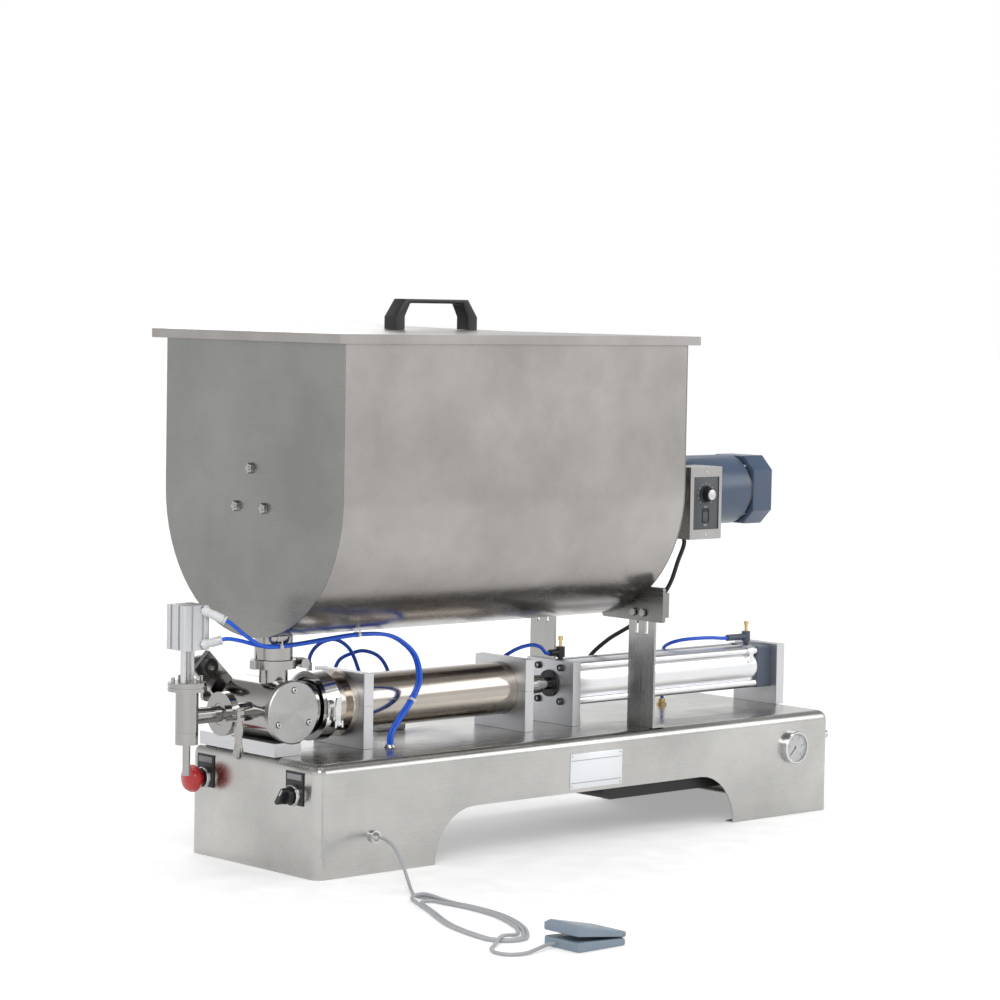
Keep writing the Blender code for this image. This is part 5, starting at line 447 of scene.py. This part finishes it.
UPPER = ((-0.112, -0.019, 0.390), (-0.086, -0.038, 0.375))
LOWER = ((-0.112, -0.019, 0.338), (-0.090, -0.035, 0.345))
upper_hose = nozzle_hose("nozzle_hose_upper", UPPER, (-0.050, -0.0440, 0.350), -1)
nozzle_hose("nozzle_hose_lower", LOWER, (-0.055, -0.0380, 0.3425), 1)
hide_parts("nozzle_hoses")

HOSES = {
    "valve_hose_a": ((0.196, 0.1146, 0.279), (0.197, 0.1146, 0.289), (0.206, 0.1135, 0.302), (0.222, 0.112, 0.311),
                     (0.246, 0.110, 0.3125), (0.270, 0.106, 0.296), (0.287, 0.102, 0.258), (0.300, 0.096, 0.215),
                     (0.316, 0.090, 0.188)),
    "valve_hose_b": ((0.248, 0.1146, 0.262), (0.249, 0.1146, 0.270), (0.257, 0.1140, 0.281), (0.274, 0.112, 0.288),
                     (0.300, 0.110, 0.292), (0.328, 0.106, 0.282), (0.344, 0.102, 0.259), (0.348, 0.096, 0.220),
                     (0.345, 0.090, 0.188)),
    "front_flow_hose": ((0.5962, 0, 0.2805), (0.589, 0, 0.281), (0.578, 0.001, 0.291), (0.560, 0.006, 0.295),
                        (0.536, 0.020, 0.286), (0.519, 0.045, 0.262), (0.513, 0.071, 0.230), (0.490, 0.092, 0.200),
                        (0.440, 0.100, 0.184), (0.395, 0.094, 0.178), (0.357, 0.090, 0.178)),
    "rear_flow_hose_smooth": ((1.0071, 0, 0.2805), (0.998, 0, 0.2805), (0.970, 0, 0.283), (0.930, 0.001, 0.284),
                              (0.903, 0.008, 0.282), (0.893, 0.023, 0.276), (0.896, 0.040, 0.266),
                              (0.905, 0.050, 0.242), (0.912, 0.056, 0.205), (0.914, 0.060, 0.1675)),
}
for name, points in HOSES.items():
    route = [P(*point) for point in points]
    hose = link(wire(name, route, HOSE, HOSE_ROUND, HOSE_SPACING), "machine", BLUE)
    if name == "valve_hose_a":
        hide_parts("valve_hoses")
    if name == "rear_flow_hose_smooth":
        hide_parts("rear_flow_hose")

MANIFOLD_LOW = P(0.305, 0.075, 0.168)
MANIFOLD_SIZE = Vector((0.055, 0.026, 0.022))
manifold = box("manifold", MANIFOLD_LOW, MANIFOLD_LOW + MANIFOLD_SIZE, 0.0012)
link(manifold, "machine", ALUMINIUM)

CABLE_ROUTE = ((0.812, -0.085, 0.4627), (0.812, -0.085, 0.452), (0.807, -0.078, 0.427), (0.799, -0.066, 0.385),
               (0.782, -0.044, 0.345), (0.760, -0.020, 0.318), (0.7436, 0.020, 0.290), (0.730, 0.050, 0.257),
               (0.723, 0.061, 0.215), (0.722, 0.063, 0.1675))
motor_cable = wire("motor_cable_smooth", [P(*point) for point in CABLE_ROUTE], CABLE_RADIUS, HOSE_ROUND, CABLE_SPACING)
link(motor_cable, "machine", CABLE)
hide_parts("motor_cable")


# ---------------------------------------------------------------- details of the valve and nozzle

def add_piece(shape, name, body, material, angle=35):
    return link(from_bmesh(name, shape, angle), body, material)


def turned_piece(name, profile, origin, direction, body, material, steps=48):
    return link(lathe(name, profile, origin, direction, steps), body, material)


VALVE_X = 0.036
COVER_FACE_Y, COVER_SCREW_RING = -0.0462, 0.033
shape = bmesh.new()
for angle in (90, 210, 330):
    at = P(VALVE_X + COVER_SCREW_RING * cos(radians(angle)), COVER_FACE_Y,
           AXIS_Z + COVER_SCREW_RING * sin(radians(angle)))
    hex_socket_screw(shape, at, -Y, 0.0041, 0.0062)
add_piece(shape, "cover_screws", "machine", SCREW_STEEL)

CRANK_REACH, CRANK_FRONT_Y, CRANK_THICK = 0.05838, 0.0861, 0.010
crank_end = P(VALVE_X - CRANK_REACH, CRANK_FRONT_Y, AXIS_Z + CRANK_REACH)
turned_piece("crank_ring_cover", [(0.0064, 0.0111), (0.0064, 0.0120), (0.0122, 0.0122), (0.0133, 0.0112),
                                  (0.0133, 0.0001), (0.01255, 0.0001), (0.01255, 0.0111), (0.0064, 0.0111)],
             crank_end, -Y, "rotor", BLACK)
turned_piece("crank_knob_cover", [(0, 0.0001), (0.0156, 0.0001), (0.0156, 0.0092), (0.0148, 0.0112),
                                  (0.0128, 0.0124), (0, 0.0126)],
             crank_end + Y * CRANK_THICK, Y, "rotor", BLACK)

WING_X, WING_Y = -0.056, -0.0373
WING = ((0.2176, 0.0055), (0.2120, 0.0064), (0.2060, 0.0062), (0.2000, 0.0046), (0.1940, 0.0042), (0.1880, 0.0052),
        (0.1830, 0.0070), (0.1780, 0.0078), (0.1740, 0.0068), (0.1718, 0.0036))
shape = bmesh.new()
rings = []
for y, share in ((-0.0040, 0.78), (-0.0032, 1.0), (0.0032, 1.0), (0.0040, 0.78)):
    outline = [(WING_X + half * share, z) for z, half in WING]
    outline += [(WING_X - half * share, z) for z, half in WING[::-1]]
    rings.append([shape.verts.new(P(x, WING_Y + y, z)) for x, z in outline])
for first, second in zip(rings, rings[1:]):
    for step in range(len(first)):
        after = (step + 1) % len(first)
        shape.faces.new((first[step], first[after], second[after], second[step]))
shape.faces.new(rings[0])
shape.faces.new(rings[-1][::-1])
add_piece(shape, "wing_nut", "machine", POLISHED, 50)

for name, (start, end) in (("upper_push_fitting", UPPER), ("lower_push_fitting", LOWER)):
    start, end = P(*start), P(*end)
    along = end - start
    reach = along.length
    turned_piece(name, [(0.0032, reach + 0.0032), (0.0064, reach + 0.0032), (0.0070, reach + 0.0026),
                        (0.0070, reach + 0.0006), (0.0056, reach), (0.0056, reach - 0.0012), (0.0068, reach - 0.0018),
                        (0.0068, reach * 0.55), (0.0063, reach * 0.5), (0.0063, reach * 0.32), (0.0074, reach * 0.3),
                        (0.0074, 0.0015), (0.0032, 0.0015), (0.0032, reach + 0.0032)],
                 start, along, "machine", WHITE, 40)


TIE_STEPS = 32


def tie(name, place, along, half_wide=0.0066, half_high=0.0036, width=0.0026):
    """A cable tie round the two hoses, with its square head and cut tail."""
    along = Vector(along).normalized()
    side = Y - along * along.dot(Y)
    side.normalize()
    high = along.cross(side)
    shape = bmesh.new()
    rings = []
    for thick, shift in ((0, -1), (0.0007, -1), (0.0007, 1), (0, 1)):
        rings.append([shape.verts.new(place + side * (half_wide + thick) * cos(2 * pi * step / TIE_STEPS)
                                      + high * (half_high + thick) * sin(2 * pi * step / TIE_STEPS)
                                      + along * shift * width / 2) for step in range(TIE_STEPS)])
    for first, second in zip(rings, rings[1:] + rings[:1]):
        for step in range(TIE_STEPS):
            after = (step + 1) % TIE_STEPS
            shape.faces.new((first[step], first[after], second[after], second[step]))
    head = place - side * (half_wide + 0.0012)
    basis = Matrix((along, side, high)).transposed().to_4x4()
    bmesh.ops.create_cube(shape, size=1, matrix=Matrix.Translation(head) @ basis
                          @ Matrix.Diagonal((0.0042, 0.0030, 0.0046, 1)))
    tail_at = head + high * 0.005
    bmesh.ops.create_cube(shape, size=1, matrix=Matrix.Translation(tail_at) @ basis
                          @ Matrix.Diagonal((0.0022, 0.0008, 0.0070, 1)))
    add_piece(shape, name, "machine", WHITE, 40)


tie("hose_tie_left", P(0.0136, -0.0410, 0.3305), (1, 0, -0.02))
tie("hose_tie_top", P(0.145, -0.0609, 0.3422), (1, 0, 0.02))
tie("hose_tie_low", P(0.254, -0.0609, 0.236), (0.62, 0, 0.79))

# ---------------------------------------------------------------- switches on the left end

for name, y in (("selector", SELECTOR_Y), ("estop", ESTOP_Y)):
    turned_piece(name + "_collar", [(0.01455, 0.0001), (0.0156, 0.0001), (0.0156, 0.0068), (0.0150, 0.0078),
                                    (0.01455, 0.0078), (0.01455, 0.0001)],
                 P(-0.0018, y, SWITCH_Z), -X, "machine", BRIGHT)
    strip = box(name + "_label_strip", P(-0.0023, y - 0.0165, 0.1420), P(-0.0018, y + 0.0165, 0.1505), 0.0002)
    link(strip, "machine", LABEL)
SELECTOR_TILT = radians(35)
shape = bmesh.new()
box_into(shape, (-0.0304, -0.0011, 0.0020), (-0.0297, 0.0011, 0.0128), 0.0001)
shape.transform(Matrix.Translation(P(-0.0003, SELECTOR_Y, SWITCH_Z)) @ Matrix.Rotation(SELECTOR_TILT, 4, "X"))
add_piece(shape, "selector_pointer", "selector_knob", WHITE)

# ---------------------------------------------------------------- gauge

GAUGE = P(1.010, -0.1592, 0.1126)
DIAL_START, DIAL_SWEEP, TICK_COUNT = 225, 270, 51
FIGURE_RING, FIGURE_LIFT, FIGURE_SIZE = 0.0152, 0.00015, 0.0050
TICK_LIFT, TICK_HALF_THICK = 0.0002, 0.0001
turned_piece("gauge_dial", [(0.0023, 0), (0.0236, 0), (0.0236, 0.00012), (0.0023, 0.00012), (0.0023, 0)],
             GAUGE, -Y, "machine", DIAL)
shape = bmesh.new()
for step in range(TICK_COUNT):
    angle = radians(DIAL_START - step * DIAL_SWEEP / (TICK_COUNT - 1))
    major = step % 10 == 0
    outer, inner, half = 0.0222, 0.0188 if major else 0.0205, 0.0004 if major else 0.00016
    reach = Vector((cos(angle), 0, sin(angle)))
    across = Vector((-sin(angle), 0, cos(angle))) * half
    face = GAUGE - Y * TICK_LIFT
    corners = [face + reach * inner - across, face + reach * outer - across, face + reach * outer + across,
               face + reach * inner + across]
    front = [shape.verts.new(corner - Y * TICK_HALF_THICK) for corner in corners]
    rear = [shape.verts.new(corner + Y * TICK_HALF_THICK) for corner in corners]
    shape.faces.new(front)
    shape.faces.new(rear[::-1])
    for first in range(4):
        after = (first + 1) % 4
        shape.faces.new((front[first], rear[first], rear[after], front[after]))
add_piece(shape, "gauge_ticks", "machine", NEEDLE)


WORD_HALF_THICK = 0.00002


def words(name, text, place, size, material, body="machine"):
    """Plain figures or letters that face the front."""
    curve = bpy.data.curves.new(name, "FONT")
    curve.body = text
    curve.size = size
    curve.extrude = WORD_HALF_THICK
    curve.align_x = "CENTER"
    curve.align_y = "CENTER"
    lettering = bpy.data.objects.new(name, curve)
    lettering.matrix_world = Matrix.Translation(place) @ Matrix.Rotation(pi / 2, 4, "X")
    return link(lettering, body, material)


# Thin and close to the dial, so that the needle passes in front of them.
FIGURES = ("0", "2", "4", "6", "8", "10")
for step, text in enumerate(FIGURES):
    angle = radians(DIAL_START - step * DIAL_SWEEP / (len(FIGURES) - 1))
    at = GAUGE + Vector((FIGURE_RING * cos(angle), -FIGURE_LIFT, FIGURE_RING * sin(angle)))
    words("gauge_figure_" + text, text, at, FIGURE_SIZE, NEEDLE)
turned_piece("gauge_glass", [(0, 0.0036), (0.0234, 0.0036), (0.0234, 0.0044), (0, 0.0046)], GAUGE, -Y, "machine",
             GLASS)

# ---------------------------------------------------------------- bare data plate

PLATE_FACE_Y, PLATE_BACK_Y = -HALF_DEPTH - 0.0009, -HALF_DEPTH - 0.0001
LINE_FACE_Y, LINE_BACK_Y = -HALF_DEPTH - 0.0010, -HALF_DEPTH - 0.0008
RIVET_INSET, LINE_INSET = 0.004, 0.0015
shape = bmesh.new()
box_into(shape, P(PLATE_X0, PLATE_FACE_Y, PLATE_Z0), P(PLATE_X1, PLATE_BACK_Y, PLATE_Z1), 0.0003)
add_piece(shape, "data_plate", "machine", PLATE)
shape = bmesh.new()
for x in (PLATE_X0 + RIVET_INSET, PLATE_X1 - RIVET_INSET):
    for z in (PLATE_Z0 + RIVET_INSET, PLATE_Z1 - RIVET_INSET):
        lathe_into(shape, [(0, 0), (0.0016, 0), (0.0014, 0.0006), (0.0008, 0.0010), (0, 0.0011)],
                   P(x, PLATE_FACE_Y, z), -Y, 16)
add_piece(shape, "data_plate_rivets", "machine", SCREW_STEEL)
shape = bmesh.new()
for low_z, high_z in ((PLATE_Z0 + 0.0085, PLATE_Z0 + 0.0095), (PLATE_Z1 - 0.0115, PLATE_Z1 - 0.0105)):
    box_into(shape, P(PLATE_X0 + LINE_INSET, LINE_FACE_Y, low_z), P(PLATE_X1 - LINE_INSET, LINE_BACK_Y, high_z))
add_piece(shape, "data_plate_lines", "machine", LABEL)

# ---------------------------------------------------------------- speed control box

FACE_Y = -0.1165
FACE_X0, FACE_X1 = 0.7985, 0.8555
FACE_Z0, FACE_Z1 = 0.4755, 0.5675
CONTROL_X, KNOB_Z, DOT_RING = 0.827, 0.5356, 0.0180
DOT_COUNT = 11
shape = bmesh.new()
box_into(shape, P(FACE_X0, FACE_Y - 0.0012, FACE_Z0), P(FACE_X1, FACE_Y - 0.0002, FACE_Z1), 0.0003)
add_piece(shape, "control_face", "machine", BOX_PAINT)
shape = bmesh.new()
for low_z, high_z, slope in ((FACE_Z1, 0.5790, 1), (0.4640, FACE_Z0, -1)):
    inner, outer = (low_z, high_z) if slope > 0 else (high_z, low_z)
    points = [P(x, y, z) for x in (FACE_X0, FACE_X1) for y, z in
              ((FACE_Y - 0.0012, inner), (-0.1189, outer), (FACE_Y + 0.0010, outer), (FACE_Y + 0.0010, inner))]
    verts = [shape.verts.new(point) for point in points]
    for quad in ((0, 1, 2, 3), (7, 6, 5, 4), (0, 4, 5, 1), (1, 5, 6, 2), (2, 6, 7, 3), (3, 7, 4, 0)):
        shape.faces.new([verts[index] for index in quad])
add_piece(shape, "control_bezel", "machine", BRIGHT, 20)
shape = bmesh.new()
for z in (0.5725, 0.4705):
    hex_socket_screw(shape, P(CONTROL_X, -0.1172, z), -Y, 0.0027, 0.0022, 0.0034)
add_piece(shape, "control_screws", "machine", BRIGHT)
turned_piece("speed_knob_cap", [(0, 0), (0.0086, 0), (0.0086, 0.0006), (0.0080, 0.0010), (0, 0.0012)],
             P(CONTROL_X, FACE_Y - 0.0149, KNOB_Z), -Y, "speed_knob", ALUMINIUM)
turned_piece("speed_knob_skirt", [(0.0040, 0.0004), (0.0142, 0.0004), (0.0142, 0.0016), (0.0122, 0.0030),
                                  (0.0122, 0.0004)],
             P(CONTROL_X, FACE_Y - 0.0012, KNOB_Z), -Y, "speed_knob", BLACK)
shape = bmesh.new()
for step in range(DOT_COUNT):
    angle = radians(DIAL_START - step * DIAL_SWEEP / (DOT_COUNT - 1))
    lathe_into(shape, [(0, 0), (0.0008, 0), (0.0008, 0.0002), (0, 0.0002)],
               P(CONTROL_X + DOT_RING * cos(angle), FACE_Y - 0.0012, KNOB_Z + DOT_RING * sin(angle)), -Y, 10)
add_piece(shape, "speed_dots", "machine", WHITE)
shape = bmesh.new()
for low_x, low_z, high_x, high_z in ((0.8195, 0.4895, 0.8205, 0.5125), (0.8335, 0.4895, 0.8345, 0.5125),
                                     (0.8205, 0.5115, 0.8335, 0.5125), (0.8205, 0.4895, 0.8335, 0.4905)):
    box_into(shape, P(low_x, FACE_Y - 0.0022, low_z), P(high_x, FACE_Y - 0.0011, high_z))
add_piece(shape, "rocker_frame", "machine", BLACK)
for name, text, z in (("rocker_on", "ON", 0.5153), ("rocker_off", "OFF", 0.4855)):
    words(name, text, P(CONTROL_X, FACE_Y - 0.0013, z), 0.0042, WHITE)

# ---------------------------------------------------------------- motor and air cylinder

turned_piece("motor_gap_ring", [(0.0500, 0.0003), (0.0566, 0.0003), (0.0566, 0.0057), (0.0500, 0.0057),
                                (0.0500, 0.0003)], P(0.997, 0, MOTOR_Z), X, "machine", BLACK, 64)
COWL_RADIUS = 0.0560
shape = bmesh.new()
for angle in (45, 135, 225, 315):
    reach = Vector((0, cos(radians(angle)), sin(radians(angle))))
    hex_socket_screw(shape, P(1.000, 0, MOTOR_Z) + reach * COWL_RADIUS, reach, 0.0022, 0.0016)
add_piece(shape, "motor_screws", "machine", BRIGHT)
AIR_PLATE_X, BOLT_Y, BOLT_Z = 0.5979, 0.026, 0.027
shape = bmesh.new()
for across in (-1, 1):
    for rise in (-1, 1):
        at = P(AIR_PLATE_X, across * BOLT_Y, AXIS_Z + rise * BOLT_Z)
        hex_socket_screw(shape, at, -X, 0.0056, 0.0046)
add_piece(shape, "air_plate_bolts", "machine", DARK_STEEL)
turned_piece("deck_fitting_rear", [(0, 0), (0.0085, 0), (0.0085, 0.0040), (0.0060, 0.0046), (0.0060, 0.0100),
                                   (0.0052, 0.0110), (0.0031, 0.0112), (0, 0.0112)],
             P(0.914, 0.060, DECK), Z, "machine", BRASS, 24)


# ---------------------------------------------------------------- floor, light and world

floor_shape = bmesh.new()
bmesh.ops.create_grid(floor_shape, x_segments=1, y_segments=1, size=60, matrix=Matrix.Translation((0, 0, -0.0002)))
floor = from_bmesh("floor", floor_shape)
FLOOR = moulded("floor_white", (0.80, 0.80, 0.80), 0.8, 0.02, 40.0)
link(floor, None, FLOOR)


def seen_rays(tree):
    """One for camera, glossy and transmission rays, and zero for the light that falls on the object."""
    path = tree.nodes.new("ShaderNodeLightPath")
    seen = path.outputs["Is Camera Ray"]
    for ray in ("Is Glossy Ray", "Is Transmission Ray"):
        most = tree.nodes.new("ShaderNodeMath")
        most.operation = "MAXIMUM"
        tree.links.new(seen, most.inputs[0])
        tree.links.new(path.outputs[ray], most.inputs[1])
        seen = most.outputs["Value"]
    return seen


shader = FLOOR.node_tree.nodes["Principled BSDF"]
shader.inputs["Emission Color"].default_value = (1, 1, 1, 1)
coords = FLOOR.node_tree.nodes.new("ShaderNodeTexCoord")
far = FLOOR.node_tree.nodes.new("ShaderNodeVectorMath")
far.operation = "LENGTH"
FLOOR.node_tree.links.new(coords.outputs["Object"], far.inputs[0])
glow = FLOOR.node_tree.nodes.new("ShaderNodeMapRange")
glow.interpolation_type = "SMOOTHSTEP"
for socket, value in (("From Min", 0.8), ("From Max", 6.0), ("To Min", 0.34), ("To Max", 0.62)):
    glow.inputs[socket].default_value = value
FLOOR.node_tree.links.new(far.outputs["Value"], glow.inputs["Value"])
seen_glow = FLOOR.node_tree.nodes.new("ShaderNodeMath")
seen_glow.operation = "MULTIPLY"
FLOOR.node_tree.links.new(glow.outputs["Result"], seen_glow.inputs[0])
FLOOR.node_tree.links.new(seen_rays(FLOOR.node_tree), seen_glow.inputs[1])
FLOOR.node_tree.links.new(seen_glow.outputs["Value"], shader.inputs["Emission Strength"])


def lamp(name, place, aim, power, size):
    data = bpy.data.lights.new(name, "AREA")
    data.energy = power
    data.size = size
    light = bpy.data.objects.new(name, data)
    COLLECTION.objects.link(light)
    light.location = place
    light.rotation_euler = (Vector(aim) - Vector(place)).to_track_quat("-Z", "Y").to_euler()


lamp("key", (-2.6, -2.4, 2.9), (0, 0, 0.35), 62, 2.0)
lamp("fill", (2.8, -2.2, 1.9), (0, 0, 0.35), 24, 1.8)
lamp("top", (0.2, 0.5, 3.0), (0, 0, 0.3), 30, 2.4)
lamp("rear", (1.2, 3.2, 2.0), (0, 0, 0.35), 22, 1.8)

world = bpy.data.worlds.new("studio")
world.use_nodes = True
SCENE.world = world
nodes, links = world.node_tree.nodes, world.node_tree.links
background = nodes["Background"]
coords = nodes.new("ShaderNodeTexCoord")
split = nodes.new("ShaderNodeSeparateXYZ")
links.new(coords.outputs["Generated"], split.inputs["Vector"])
shade = nodes.new("ShaderNodeMapRange")
shade.interpolation_type = "SMOOTHSTEP"
shade.inputs["From Min"].default_value = 0.18
shade.inputs["From Max"].default_value = 0.75
shade.inputs["To Min"].default_value = 1.0
shade.inputs["To Max"].default_value = 0.35
links.new(split.outputs["Z"], shade.inputs["Value"])
strength = nodes.new("ShaderNodeMix")
strength.inputs["A"].default_value = 0.50
links.new(seen_rays(world.node_tree), strength.inputs["Factor"])
links.new(shade.outputs["Result"], strength.inputs["B"])
links.new(strength.outputs["Result"], background.inputs["Strength"])
background.inputs["Color"].default_value = (1, 1, 1, 1)
SCENE.view_settings.view_transform = "Standard"
